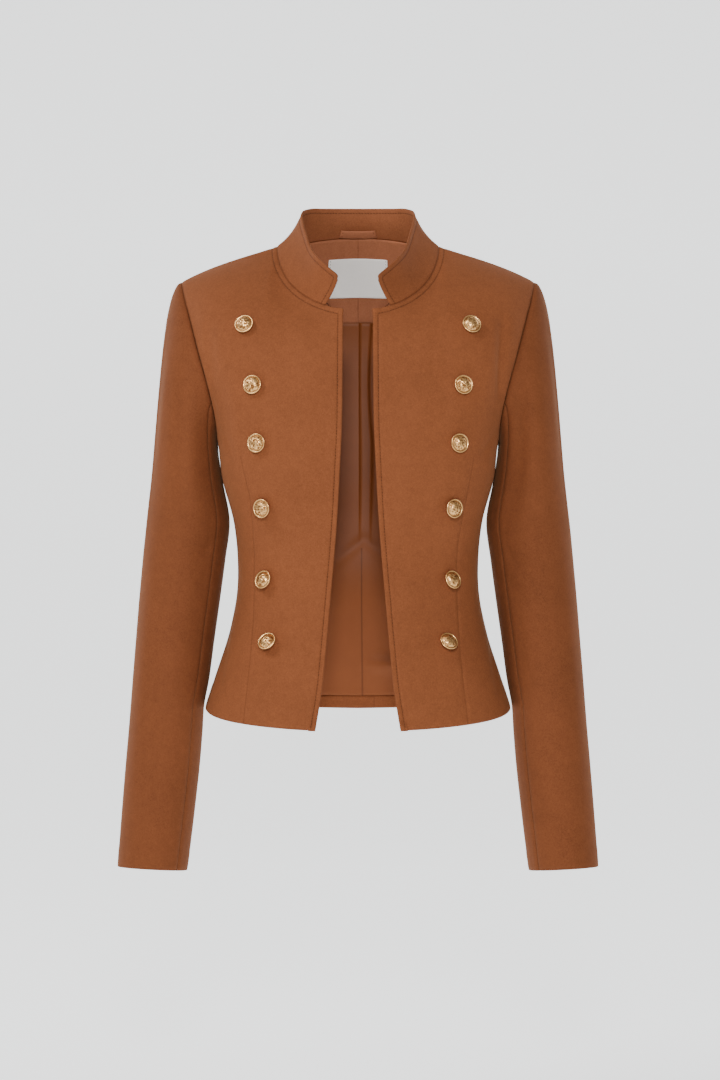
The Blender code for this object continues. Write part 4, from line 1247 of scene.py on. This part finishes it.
def stitch_mesh(name, lines, finish):
    """Small raised stitches along lines of points with normals."""
    points, faces = [], []
    last = (len(STITCH_RINGS) - 1) * STITCH_SIDES
    for line, normals in lines:
        length = np.concatenate([[0], np.cumsum(np.linalg.norm(np.diff(line, axis=0), axis=-1))])
        count = int(length[-1] // STITCH_PITCH)
        for k in range(count):
            base = len(points)
            points.extend(one_stitch(line, normals, length, (k + 0.5) * length[-1] / count))
            faces += tube_faces(base, len(STITCH_RINGS), STITCH_SIDES)
            faces.append(tuple(base + j for j in reversed(range(STITCH_SIDES))))
            faces.append(tuple(base + last + j for j in range(STITCH_SIDES)))
    made = placed(name, new_mesh(name, [tuple(point * MM) for point in points], faces, [finish]))
    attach(made, "root")
    return made


def feed(tree, made, inputs):
    """Set or link the inputs of a shader node."""
    for key, value in inputs.items():
        if isinstance(value, bpy.types.NodeSocket):
            tree.links.new(value, made.inputs[key])
        else:
            made.inputs[key].default_value = value


def add(tree, kind, inputs, **settings):
    """A shader node with its settings and inputs."""
    made = tree.nodes.new(kind)
    for name, value in settings.items():
        setattr(made, name, value)
    feed(tree, made, inputs)
    return made


def maths(tree, operation, first, second=0.0):
    """Result of one calculation in a shader."""
    return add(tree, "ShaderNodeMath", {0: first, 1: second}, operation=operation).outputs[0]


def weighted(tree, total, *parts):
    """A value plus shader values, each times its weight."""
    for value, weight in parts:
        total = maths(tree, "ADD", maths(tree, "MULTIPLY", value, weight), total)
    return total


def spread(tree, value, low, high, first, last):
    """A value's smooth way from first to last while it runs from low to high."""
    inputs = {"Value": value, "From Min": low, "From Max": high, "To Min": first, "To Max": last}
    return add(tree, "ShaderNodeMapRange", inputs, interpolation_type="SMOOTHSTEP").outputs["Result"]


def mixed(tree, share, first, second, blend="MIX"):
    """Two colours mixed in a shader."""
    return add(tree, "ShaderNodeMix", {0: share, 6: first, 7: second},
               data_type="RGBA", blend_type=blend).outputs[2]


def toned(tree, colour, tone):
    """A colour times a grey tone."""
    grey = add(tree, "ShaderNodeCombineColor", {"Red": tone, "Green": tone, "Blue": tone})
    return mixed(tree, 1.0, (*colour, 1.0), grey.outputs["Color"], "MULTIPLY")


def bumped(tree, height, strength, distance):
    """Shading direction of a bumpy surface; distance is in metres."""
    inputs = {"Height": height, "Strength": strength, "Distance": distance}
    return add(tree, "ShaderNodeBump", inputs).outputs["Normal"]


def line_distances(tree):
    """Distances from stitching, dart and seam, as stored in a mesh."""
    marks = add(tree, "ShaderNodeAttribute", {}, attribute_name="lines")
    parts = add(tree, "ShaderNodeSeparateXYZ", {"Vector": marks.outputs["Vector"]})
    return [parts.outputs[axis] for axis in "XYZ"]


def new_finish(name):
    """An empty material with its shader and object coordinates."""
    made = bpy.data.materials.new(name)
    made.use_nodes = True
    tree = made.node_tree
    return made, tree, tree.nodes["Principled BSDF"], add(tree, "ShaderNodeTexCoord", {}).outputs["Object"]


def speckle(tree, place, scale, detail=3.0, rough=0.55):
    """Noise around 0 in a shader."""
    made = add(tree, "ShaderNodeTexNoise",
               {"Vector": place, "Scale": scale, "Detail": detail, "Roughness": rough})
    return maths(tree, "SUBTRACT", made.outputs["Fac"], 0.5)


def near_line(tree, value, width):
    """1 on a line and 0 beyond a width in millimetres, from a signed distance."""
    return spread(tree, maths(tree, "ABSOLUTE", value), 0.0, width, 1.0, 0.0)


def cloth_finish(name, colour, sheen=0.1, roughness=0.84, grain=1.0):
    """Fine brushed cloth: short grain, soft mottling, darker in seams and stitched lines."""
    made, tree, shader, place = new_finish(name)
    stitch, dart, seam = (near_line(tree, value, width)
                          for value, width in zip(line_distances(tree), LINE_WIDTHS))
    large = speckle(tree, place, 15.0, 2.0)
    patch = speckle(tree, place, 120.0, 3.0)
    fine = speckle(tree, place, 560.0, 4.0, 0.7)
    hair = speckle(tree, place, 1700.0, 2.0, 0.6)
    tone = weighted(tree, 1.0, (large, 0.26), (patch, 0.24), (fine, 0.8 * grain), (hair, 0.8 * grain),
                    (stitch, -0.26), (dart, -0.22), (seam, -0.24))
    height = weighted(tree, 0.0, (fine, 0.35), (hair, 0.3), (stitch, -0.5), (dart, -0.4), (seam, -0.5))
    feed(tree, shader, {
        "Base Color": toned(tree, colour, tone),
        "Normal": bumped(tree, height, 0.5, 0.0005),
        "Roughness": weighted(tree, roughness, (fine, 0.12)),
        "Specular IOR Level": 0.12,
        "Sheen Weight": sheen,
        "Sheen Roughness": 0.45,
        "Sheen Tint": (1.0, 0.5, 0.24, 1.0),
    })
    return made


def lining_finish(name, colour):
    """Smooth woven lining with a soft gloss."""
    made, tree, shader, place = new_finish(name)
    stretched = add(tree, "ShaderNodeMapping", {"Vector": place, "Scale": (2600.0, 2600.0, 500.0)})
    weave = speckle(tree, stretched.outputs["Vector"], 1.0, 2.0)
    large = speckle(tree, place, 22.0, 3.0)
    join_line = near_line(tree, line_distances(tree)[1], 1.2)
    tone = weighted(tree, 1.0, (weave, 0.22), (large, 0.2), (join_line, -0.4))
    feed(tree, shader, {
        "Base Color": toned(tree, colour, tone),
        "Normal": bumped(tree, weave, 0.25, 0.0002),
        "Roughness": weighted(tree, 0.5, (weave, 0.1)),
        "Specular IOR Level": 0.15,
    })
    return made


def label_finish(name):
    """Woven blank label with a fine rib across it."""
    made, tree, shader, place = new_finish(name)
    parts = add(tree, "ShaderNodeSeparateXYZ", {"Vector": place})
    rib = maths(tree, "SINE", maths(tree, "MULTIPLY", parts.outputs["Z"], 2 * math.pi / RIB_PITCH))
    thread = maths(tree, "SINE", maths(tree, "MULTIPLY", parts.outputs["X"], 2 * math.pi / THREAD_PITCH))
    weave = maths(tree, "MULTIPLY", rib, thread)
    tone = weighted(tree, 1.0, (weave, 0.035), (speckle(tree, place, 90.0, 3.0), 0.08))
    feed(tree, shader, {
        "Base Color": toned(tree, LABEL_COLOUR, tone),
        "Normal": bumped(tree, weave, 0.3, 0.0001),
        "Roughness": 0.6,
        "Sheen Weight": 0.2,
    })
    return made


def metal_finish(name):
    """Warm gold-toned metal, darker in the hollows of its relief."""
    made, tree, shader, place = new_finish(name)
    marks = add(tree, "ShaderNodeAttribute", {}, attribute_name="hollow")
    fine = speckle(tree, place, 1800.0, 3.0)
    dark = spread(tree, weighted(tree, marks.outputs["Fac"], (fine, 0.25)), 0.1, 0.8, 0.0, 1.0)
    feed(tree, shader, {
        "Base Color": mixed(tree, dark, (*GOLD_COLOUR, 1.0), (*HOLLOW_COLOUR, 1.0)),
        "Roughness": weighted(tree, 0.33, (dark, 0.25)),
        "Normal": bumped(tree, fine, 0.2, 0.0002),
        "Metallic": 1.0,
    })
    return made


def crown_lift(radius, turn, relief, seed):
    """Uneven height of a button's crown at one point."""
    flat = (radius * math.cos(turn), radius * math.sin(turn), SEED_STEP * seed)
    cell = noise.noise(tuple(v * BUTTON_GRAIN for v in flat))
    small = noise.noise(tuple(v * SMALL_GRAIN * BUTTON_GRAIN for v in flat))
    return relief * (CELL_SHARE * cell + SMALL_SHARE * small)


def button_piece(name, place, normal, tilt, shank, seed, finish):
    """Domed button with a raised rim, a groove and an uneven hammered crown, tilted on its shank."""
    side = unit(np.cross(np.array([0.0, 0.0, 1.0]), normal))
    up = np.cross(normal, side)
    lean = math.radians(tilt)
    out = normal * math.cos(lean) + up * math.sin(lean)
    top = up * math.cos(lean) - normal * math.sin(lean)
    foot = place + normal * BUTTON_GAP
    head = foot + out * shank
    rings = [(foot, SHANK_RADIUS, up, 0.0), (foot + out * shank / 2, SHANK_RADIUS * SHANK_WAIST, top, 0.0)]
    rings += [(head + out * height, radius, top, relief) for radius, height, relief in BUTTON_PROFILE]
    points, hollow = [], []
    for middle, radius, rise, relief in rings:
        groove = 1.0 if abs(radius - GROOVE_RADIUS) < GROOVE_REACH else 0.0
        for turn in 2 * math.pi * np.arange(BUTTON_SIDES) / BUTTON_SIDES:
            lift = crown_lift(radius, turn, relief, seed)
            around = side * math.cos(turn) + rise * math.sin(turn)
            points.append(middle + out * BUTTON_RELIEF * lift + radius * around)
            low = HOLLOW_MIDDLE - HOLLOW_SHARE * lift if relief > 0 else groove
            hollow.append(min(max(low, 0.0), 1.0))
    last = (len(rings) - 1) * BUTTON_SIDES
    faces = tube_faces(0, len(rings), BUTTON_SIDES)
    for j in range(BUTTON_SIDES):
        k = (j + 1) % BUTTON_SIDES
        faces.append((len(points), k, j))
        faces.append((len(points) + 1, last + j, last + k))
    points += [foot, head + out * BUTTON_PEAK]
    hollow += [0.5, 0.2]
    mesh = new_mesh(name, [tuple(point * MM) for point in points], faces, [finish])
    mark = mesh.attributes.new("hollow", "FLOAT", "POINT")
    mark.data.foreach_set("value", np.array(hollow, dtype=np.float32))
    made = placed(name, mesh)
    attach(made, "root")
    return made


def fine_row(stations, row):
    """Fractional index among fine stations of a CAD row or column."""
    return np.interp(row, stations, np.arange(len(stations)))


def refined(values, count):
    """Values with a number of even steps between each two."""
    values = np.asarray(values, float)
    at = np.linspace(0, len(values) - 1, (len(values) - 1) * count + 1)
    return np.interp(at, np.arange(len(values)), values)


def sheet_grid(outer, inner, at):
    """A grid from its two faces; where its place is below 0 it lies on the wearer's right."""
    right = (at < 0)[..., None]
    outer = np.where(right, mirrored(outer), outer)
    inner = np.where(right, mirrored(inner), inner)
    return {"points": outer, "outer": outer, "inner": inner,
            "lines": np.full(outer.shape, FAR), "turned": False}


def inner_piece(back, row, column, depth, thickness):
    """Grid of a sheet that lies inside the back; a column below 0 is the wearer's right."""
    row, column, depth = np.broadcast_arrays(row, column, depth)
    away = fine_row(BACK_STATIONS, np.abs(column))
    near, far = (on_facets(back, "inner", fine_row(ROW_STATIONS, row), away, layer)
                 for layer in (depth, depth + thickness))
    for points in (near, far):
        points[..., 0] = np.where(np.abs(column) < TINY, 0.0, points[..., 0])
    return sheet_grid(far, near, column)


def marked(piece, dart=FAR, seam=FAR):
    """Store distances from a drawn line and a seam on both faces of a sheet."""
    shape = piece["points"].shape[:-1]
    piece["lines"] = np.stack([np.broadcast_to(value, shape) for value in (FAR, dart, seam)], axis=-1)
    piece["inner_lines"] = piece["lines"]


def row_of_height(column, z):
    """Row at which the back panel has height z in one of its columns."""
    rows = np.linspace(0, ROWS, 40 * ROWS + 1)
    heights = body_point(BACK, 0 * rows + abs(column) / BACK_COLUMNS, rows)[..., 2]
    return float(np.interp(z, heights, rows))


def hem_facing_top(column):
    """Row of the hem facing's upper edge."""
    hem = float(body_point(BACK, abs(column) / BACK_COLUMNS, 0.0)[2])
    return row_of_height(column, hem + HEM_FACING_HEIGHT)


def plain_pieces():
    """Fine grids of the wearer's left, joined and measured, before folds and relief."""
    upper_columns, under_columns = sleeve_stations()
    plain = {"front": body_panel(FRONT, FRONT_STATIONS), "back": body_panel(BACK, BACK_STATIONS),
             "upper": sleeve_panel(upper_columns), "under": sleeve_panel(under_columns)}
    turn, share = np.meshgrid(collar_turns(), np.linspace(0, 1, COLLAR_ROWS * COLLAR_STEPS + 1))
    collar = panel(collar_point(turn, share), collar_normal(turn, share))
    sew(**plain, collar=collar)
    measure_body(plain["front"], FRONT)
    measure_body(plain["back"], BACK)
    measure_sleeve(plain["upper"])
    measure_sleeve(plain["under"])
    corner_rounded(plain["front"], ("bottom",), ("start",), HEM_CORNER)
    corner_rounded(plain["front"], ("top",), ("start",), NECK_CORNER)
    corner_rounded(collar, ("top",), ("start",), COLLAR_CORNER)
    return plain, collar


def make_hand(plain, hand, word, finishes):
    """Front, back and sleeve of one hand."""
    front, back, upper, under = (dict(plain[name]) for name in ("front", "back", "upper", "under"))
    body_relief(front, FRONT, hand)
    body_relief(back, BACK, hand)
    sleeve_relief(upper, hand)
    sleeve_relief(under, hand)
    for piece in (front, back, upper, under):
        relieved(piece, CLOTH)
    back["turned"] = hand > 0
    # The sleeves take the darker cloth colour of painted shade
    body, sleeve = ((finishes[name], finishes["lining"]) for name in ("cloth", "sleeve"))
    faced = np.minimum(front["lines"][:-1, :-1, 0] + EDGE_STITCH_IN, FAR) > FACING_WIDTH
    made = cloth_mesh(f"front_{word}_cloth", front, body, hand, faced)
    stitches = front_stitches(front, hand, word, finishes["thread"])
    declare(made, front, "front_" + word)
    made = cloth_mesh(f"back_{word}_cloth", back, body, hand)
    stitches = back_stitches(back, hand, word, finishes["thread"])
    declare(made, back, "back_" + word)
    for name, piece in (("sleeve_upper_", upper), ("sleeve_under_", under)):
        lined = piece["points"][:-1, :-1, 2] > CUFF_Z + CUFF_FACING
        made = cloth_mesh(name + word + "_cloth", piece, sleeve, hand, lined)
        declare(made, piece, name + word)
    return front, back


def make_shell(finishes):
    """Fronts, backs, sleeves and collar on both hands, joined along their seams."""
    plain, collar = plain_pieces()
    collar_relief(collar)
    relieved(collar, CLOTH)
    for hand, word in HANDS:
        front, back = make_hand(plain, hand, word, finishes)
    parts = ("points", "normals", "outer", "inner", "lines", "inner_lines")
    both = whole({name: collar[name] for name in parts})
    both["turned"] = False
    # The collar's inner face takes the lighter cloth colour of painted light
    made = cloth_mesh("collar_cloth", both, (finishes["cloth"], finishes["collar_inside_painted_light"]))
    stitches = [collar_stitches(both, finishes["thread"], face) for face in ("outer", "inner")]
    declare(made, both, "collar")
    return front, back, collar


def sew(front, back, upper, under, collar):
    """Join the edges of the fine grids as in the CAD."""
    low = index(ROW_STATIONS, LOW_ROWS)
    split = index(ROW_STATIONS, ROWS - UNDER_SEAM_COLUMN)
    neck_front = index(FRONT_STATIONS, NECK_COLUMNS[FRONT])
    neck_back = index(BACK_STATIONS, NECK_COLUMNS[BACK])
    first = index(FRONT_STATIONS, 1)
    join(front, ("end", slice(0, low + 1)), back, ("end", slice(0, low + 1)))
    join(front, ("top", slice(neck_front, None)), back, ("top", slice(neck_back, None)))
    middle = (upper["points"].shape[1] - 1) // 2
    join(front, ("end", slice(split, None)), upper, ("bottom", slice(middle, None)), turned=True)
    join(back, ("end", slice(split, None)), upper, ("bottom", slice(0, middle + 1)))
    half = (under["points"].shape[1] - 1) // 2
    join(front, ("end", slice(low, split + 1)), under, ("bottom", slice(0, half + 1)), turned=True)
    join(back, ("end", slice(low, split + 1)), under, ("bottom", slice(half, None)))
    join(upper, ("end",), under, ("start",))
    join(upper, ("start",), under, ("end",))
    count = neck_front - first
    collar_front = ("bottom", slice(0, count + 1))
    collar_back = ("bottom", slice(count, None))
    join(front, ("top", slice(first, neck_front + 1)), collar, collar_front, gap=COLLAR_GAP)
    join(back, ("top", slice(0, neck_back + 1)), collar, collar_back, turned=True, gap=COLLAR_GAP)
    centre_edge(back, "start")


def add_stitches(name, piece, places, hand, thread, face="outer"):
    """One run of stitches along places of a grid."""
    points, normals = on_grid(piece, places, face)
    if hand < 0:
        points, normals = mirrored(points), mirrored(normals)
    return stitch_mesh(name, [(points, normals)], thread)


def front_stitches(front, hand, word, thread):
    """Stitching up the front edge, round its corner and along the neck seam."""
    rows = range(1, len(ROW_STATIONS) - 1)
    rise = [crossing(front, i) for i in rows]
    split = index(FRONT_STATIONS, NECK_COLUMNS[FRONT])
    over = [crossing_up(front, j) for j in range(2, split + 3)]
    places = [at for at in rise if at] + [at for at in over if at]
    return add_stitches("stitching_front_" + word, front, places, hand, thread)


def back_stitches(back, hand, word, thread):
    """Stitching along the back of the neck seam."""
    split = index(BACK_STATIONS, NECK_COLUMNS[BACK])
    places = [at for at in (crossing_up(back, j) for j in range(0, split + 3)) if at]
    return add_stitches("stitching_back_" + word, back, places, hand, thread)


def collar_stitches(collar, thread, face):
    """Stitching up the collar's ends and along its top edge."""
    rows, columns = collar["lines"].shape[:2]
    first = [crossing(collar, i) for i in range(1, rows - 1)]
    over = [crossing_up(collar, j) for j in range(1, columns - 1)]
    turned = dict(collar)
    turned["lines"] = collar["lines"][:, ::-1]
    last = [crossing(turned, i) for i in range(rows - 2, 0, -1)]
    last = [(i, columns - 2 - j, 1 - t, 0.0) for i, j, t, _ in (at for at in last if at)]
    places = [at for at in first if at] + [at for at in over if at] + last
    return add_stitches("stitching_collar_" + face, collar, places, 1, thread, face)


def make_facing(back, finishes):
    """Self-cloth facing inside the back neck."""
    column = refined(np.arange(-FACING_COLUMNS, FACING_COLUMNS + 1), INNER_STEPS)
    foot = row_of_height(0, FACING_FOOT_Z)
    row = refined([foot, *range(math.ceil(foot), ROWS + 1)], FACING_STEPS)[:, None]
    piece = inner_piece(back, row, column, INNER_GAP, FACING_CLOTH)
    points = piece["points"]
    marked(piece, np.abs(points[..., 0]), np.abs(points[..., 2] - points[:1, :, 2]))
    # The facing takes the lighter cloth colour of painted light
    made = cloth_mesh("neck_facing_cloth", piece, [finishes["facing"]] * 2)
    declare(made, piece, "back_neck_facing")


def make_lining(back, finishes):
    """Lining of the back with its raised pleat."""
    pleat_x = np.array([PLEAT_START_X, PLEAT_START_X + PLEAT_EDGE, PLEAT_END_X - PLEAT_EDGE, PLEAT_END_X])
    pleat = pleat_x / PLEAT_COLUMN_WIDTH
    coarse = np.concatenate([np.arange(-LINING_COLUMNS, 1), pleat, np.arange(2, LINING_COLUMNS + 1)])
    column = refined(coarse, INNER_STEPS)
    raised = refined(np.isin(coarse, pleat[1:3]) * 1.0, INNER_STEPS)
    top = row_of_height(0, FACING_FOOT_Z) - EDGE_GAP_ROWS
    low = np.array([hem_facing_top(at) for at in column]) + EDGE_GAP_ROWS
    row = low + (top - low) * np.linspace(0, 1, LINING_ROWS + 1)[:, None]
    away = fine_row(BACK_STATIONS, np.abs(column)) + 0 * row
    z = on_facets(back, "inner", fine_row(ROW_STATIONS, row), away, 0 * row)[..., 2]
    x = column * PLEAT_COLUMN_WIDTH
    depth = INNER_GAP + PLEAT_RISE * np.clip((z - PLEAT_FOOT_Z) / PLEAT_FADE, 0, 1) * raised
    ends = np.clip((z - z[0]) / LINING_FADE, 0, 1) * np.clip((z[-1] - z) / LINING_FADE, 0, 1)
    piece = inner_piece(back, row, column, depth + lining_folds(x, z) * ends, LINING_CLOTH)
    marked(piece, np.where(z < PLEAT_FOOT_Z, x - LINING_JOIN_X, FAR))
    made = cloth_mesh("lining_cloth", piece, [finishes["lining"]] * 2)
    declare(made, piece, "back_lining")


def make_hem_facing(back, finishes):
    """Self-cloth hem turned up inside the back."""
    column = refined(np.arange(-LINING_COLUMNS, LINING_COLUMNS + 1), INNER_STEPS)
    top = np.array([hem_facing_top(at) for at in column]) - EDGE_GAP_ROWS
    row = EDGE_GAP_ROWS + (top - EDGE_GAP_ROWS) * np.linspace(0, 1, HEM_ROWS + 1)[:, None]
    piece = inner_piece(back, row, column, INNER_GAP, FACING_CLOTH)
    marked(piece, piece["points"][..., 0] - HEM_JOIN_X)
    made = cloth_mesh("hem_facing_cloth", piece, [finishes["cloth"]] * 2)
    declare(made, piece, "back_hem_facing")


def make_label(back, finishes):
    """Blank label sewn down both sides to the neck facing."""
    u, ends = body_place(BACK, LABEL_WIDTH / 2, np.array([LABEL_BOTTOM_Z, LABEL_TOP_Z]))
    rows = np.linspace(ends[0], ends[1], LABEL_ROWS + 1)
    edge = BACK_COLUMNS * np.interp(rows, ends, u)
    column = edge[:, None] * np.linspace(-1, 1, LABEL_COLUMNS + 1)[None, :]
    depth = INNER_GAP + FACING_CLOTH + SEAM_GAP
    piece = inner_piece(back, rows[:, None], column, depth, LABEL_CLOTH * LABEL_THICKNESS_SHARE)
    made = cloth_mesh("label_cloth", piece, [finishes["label"]] * 2)
    faces = (piece["outer"], piece["inner"])
    sewn = side_stitches("stitching_label", *faces, LABEL_STITCH_COLUMNS, "label", finishes["thread"])
    declare(made, piece, "label")


def lining_folds(x, z):
    """Extra standing out of the lining: the end of the pleat, a wave near the hem, two long folds."""
    arms = np.abs(x - POINT_X) * POINT_SLOPE + (z - PLEAT_FOOT_Z)
    point = np.exp(-((arms - POINT_RISE) / POINT_WIDTH) ** 2) * np.exp(-(x / POINT_REACH) ** 2)
    wave = np.exp(-((x - WAVE_X) / WAVE_WIDTH) ** 2 - ((z - WAVE_Z) / WAVE_TALL) ** 2)
    long = sum(np.exp(-((x - at) / LONG_WIDTH) ** 2) for at in LONG_X)
    fade = np.clip((LONG_FROM_Z - z) / LONG_FADE, 0, 1)
    return POINT_HEIGHT * point + WAVE_HEIGHT * wave + LONG_HEIGHT * long * fade


def side_stitches(name, face, under, columns, slot, thread):
    """Stitches down a grid's two sides, on the face away from the one under it."""
    away = unit(face - under)
    return stitch_mesh(name, [(face[:, j], away[:, j]) for j in (columns, -1 - columns)], thread)


def make_loop(collar, finishes):
    """Hanger loop inside the collar, bowed off it between its ends."""
    x = np.linspace(-LOOP_LENGTH / 2, LOOP_LENGTH / 2, LOOP_POINTS)
    turn = 180 - np.degrees(np.arcsin(np.abs(x) / NECK_HALF_WIDTH))
    turns = collar_turns()
    away = np.interp(turn, turns, np.arange(len(turns)))
    up = np.linspace(0, 1, LOOP_ROWS)[:, None]
    row = COLLAR_ROWS * COLLAR_STEPS * (LOOP_FOOT + LOOP_HEIGHT / COLLAR_HEIGHT * up)
    bow = LOOP_STAND_OFF * np.sqrt(np.clip(np.cos(math.pi * x / LOOP_LENGTH), 0, 1))
    crown = LOOP_CROWN * np.sin(math.pi * up)
    near, far = (on_facets(collar, "inner", row, away, INNER_GAP + bow + layer + 0 * row)
                 for layer in (0 * crown, LOOP_CLOTH - LOOP_CROWN + crown))
    piece = sheet_grid(near, far, x)
    # The loop takes the lighter cloth colour of painted light
    made = cloth_mesh("hanger_loop_cloth", piece, [finishes["facing"]] * 2)
    faces = (piece["inner"], piece["outer"])
    sewn = side_stitches("stitching_loop", *faces, LOOP_STITCH_COLUMNS, "cloth", finishes["thread"])
    declare(made, piece, "hanger_loop")


def make_buttons(front, metal):
    """Two rows of six buttons on the fronts."""
    for number, (x, z, tilt, shank) in enumerate(BUTTONS, start=1):
        u, row = body_place(FRONT, x, z)
        across = fine_row(FRONT_STATIONS, u * FRONT_COLUMNS)
        place = on_facets(front, "outer", fine_row(ROW_STATIONS, row), across, 0.0)
        normal = body_normal(FRONT, u, row)
        for hand, word in HANDS:
            where = place if hand > 0 else mirrored(place)
            out = normal if hand > 0 else mirrored(normal)
            seed = number + 10 * (hand < 0)
            made = button_piece(f"button_{word}_{number}_metal", where, out, tilt, shank, seed, metal)
            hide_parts(f"button_{word}_{number}")


def backdrop_finish(name):
    """Pale backdrop with a little light of its own, less of it towards the viewer."""
    made, tree, shader, place = new_finish(name)
    parts = add(tree, "ShaderNodeSeparateXYZ", {"Vector": place})
    glow = spread(tree, parts.outputs["Y"], GLOW_FROM_Y, GLOW_FULL_Y, FRONT_GLOW, FLOOR_GLOW)
    feed(tree, shader, {
        "Emission Strength": glow,
        "Base Color": (*BACKDROP, 1.0),
        "Emission Color": (*BACKDROP, 1.0),
        "Roughness": 1.0,
        "Specular IOR Level": 0.0,
    })
    return made


def make_stage():
    """Plain pale floor that sweeps up behind."""
    profile = [(FLOOR_FRONT_Y, 0.0), (SWEEP_Y, 0.0)]
    for turn in np.linspace(SWEEP_FIRST_TURN, math.pi / 2, SWEEP_STEPS):
        y = SWEEP_Y + SWEEP_RADIUS * math.sin(turn)
        profile.append((y, SWEEP_RADIUS - SWEEP_RADIUS * math.cos(turn)))
    profile.append((SWEEP_Y + SWEEP_RADIUS, BACKDROP_HEIGHT))
    points = [(x, y, FLOOR_Z + z) for x in (-FLOOR_HALF_WIDTH, FLOOR_HALF_WIDTH) for y, z in profile]
    count = len(profile)
    faces = [(count + k, count + k + 1, k + 1, k) for k in range(count - 1)]
    mesh = new_mesh("floor_sweep", points, faces, [backdrop_finish("floor_finish")])
    placed("floor_sweep", mesh)


def make_lights():
    """Soft studio light, stronger from the upper left."""
    world = bpy.data.worlds.new("studio")
    world.use_nodes = True
    feed(world.node_tree, world.node_tree.nodes["Background"],
         {"Color": (*BACKDROP, 1.0), "Strength": WORLD_LIGHT})
    bpy.context.scene.world = world
    for name, x, y, z, size, power in LIGHTS:
        lamp = bpy.data.lights.new(name, "AREA")
        lamp.shape = "DISK"
        lamp.size = size
        lamp.energy = power
        made = placed(name, lamp)
        made.location = (x, y, z)
        aim = np.array(LIGHT_AIM) - np.array([x, y, z])
        made.rotation_euler = (math.acos(-aim[2] / np.linalg.norm(aim)), 0.0, math.atan2(-aim[0], aim[1]))


def make_camera():
    """Camera at the photograph's place."""
    lens = bpy.data.cameras.new("camera")
    lens.sensor_fit = "VERTICAL"
    lens.sensor_height = SENSOR
    lens.lens = CAMERA_LENS
    made = placed("camera", lens)
    made.location = CAMERA_PLACE
    made.rotation_euler = (math.pi / 2, 0.0, 0.0)
    bpy.context.scene.camera = made


def main():
    """Make every piece, the stage, the lights and the camera."""
    finishes = {
        "cloth": cloth_finish("cloth_finish", CLOTH_COLOUR),
        # Facing finish: the body cloth made lighter, painted light inside the jacket
        "facing": cloth_finish("facing_painted_light_finish", FACING_PAINTED_LIGHT_COLOUR, sheen=0.2, roughness=0.7, grain=0.7),
        "thread": cloth_finish("thread_finish", THREAD_COLOUR, roughness=0.6, grain=0.3),
        "lining": lining_finish("lining_finish", LINING_COLOUR),
        # Sleeve finish: the body cloth darkened, painted shade on the sleeves
        "sleeve": cloth_finish("sleeve_painted_shade_finish", SLEEVE_PAINTED_SHADE_COLOUR),
        # Collar inside finish: the body cloth made lighter, painted light
        "collar_inside_painted_light": cloth_finish("collar_inside_painted_light_finish", COLLAR_INSIDE_PAINTED_LIGHT_COLOUR),
        "label": label_finish("label_finish"),
    }
    front, back, collar = make_shell(finishes)
    make_facing(back, finishes)
    make_lining(back, finishes)
    make_hem_facing(back, finishes)
    make_label(back, finishes)
    make_loop(collar, finishes)
    make_buttons(front, metal_finish("metal_finish"))
    make_stage()
    make_lights()
    make_camera()


main()
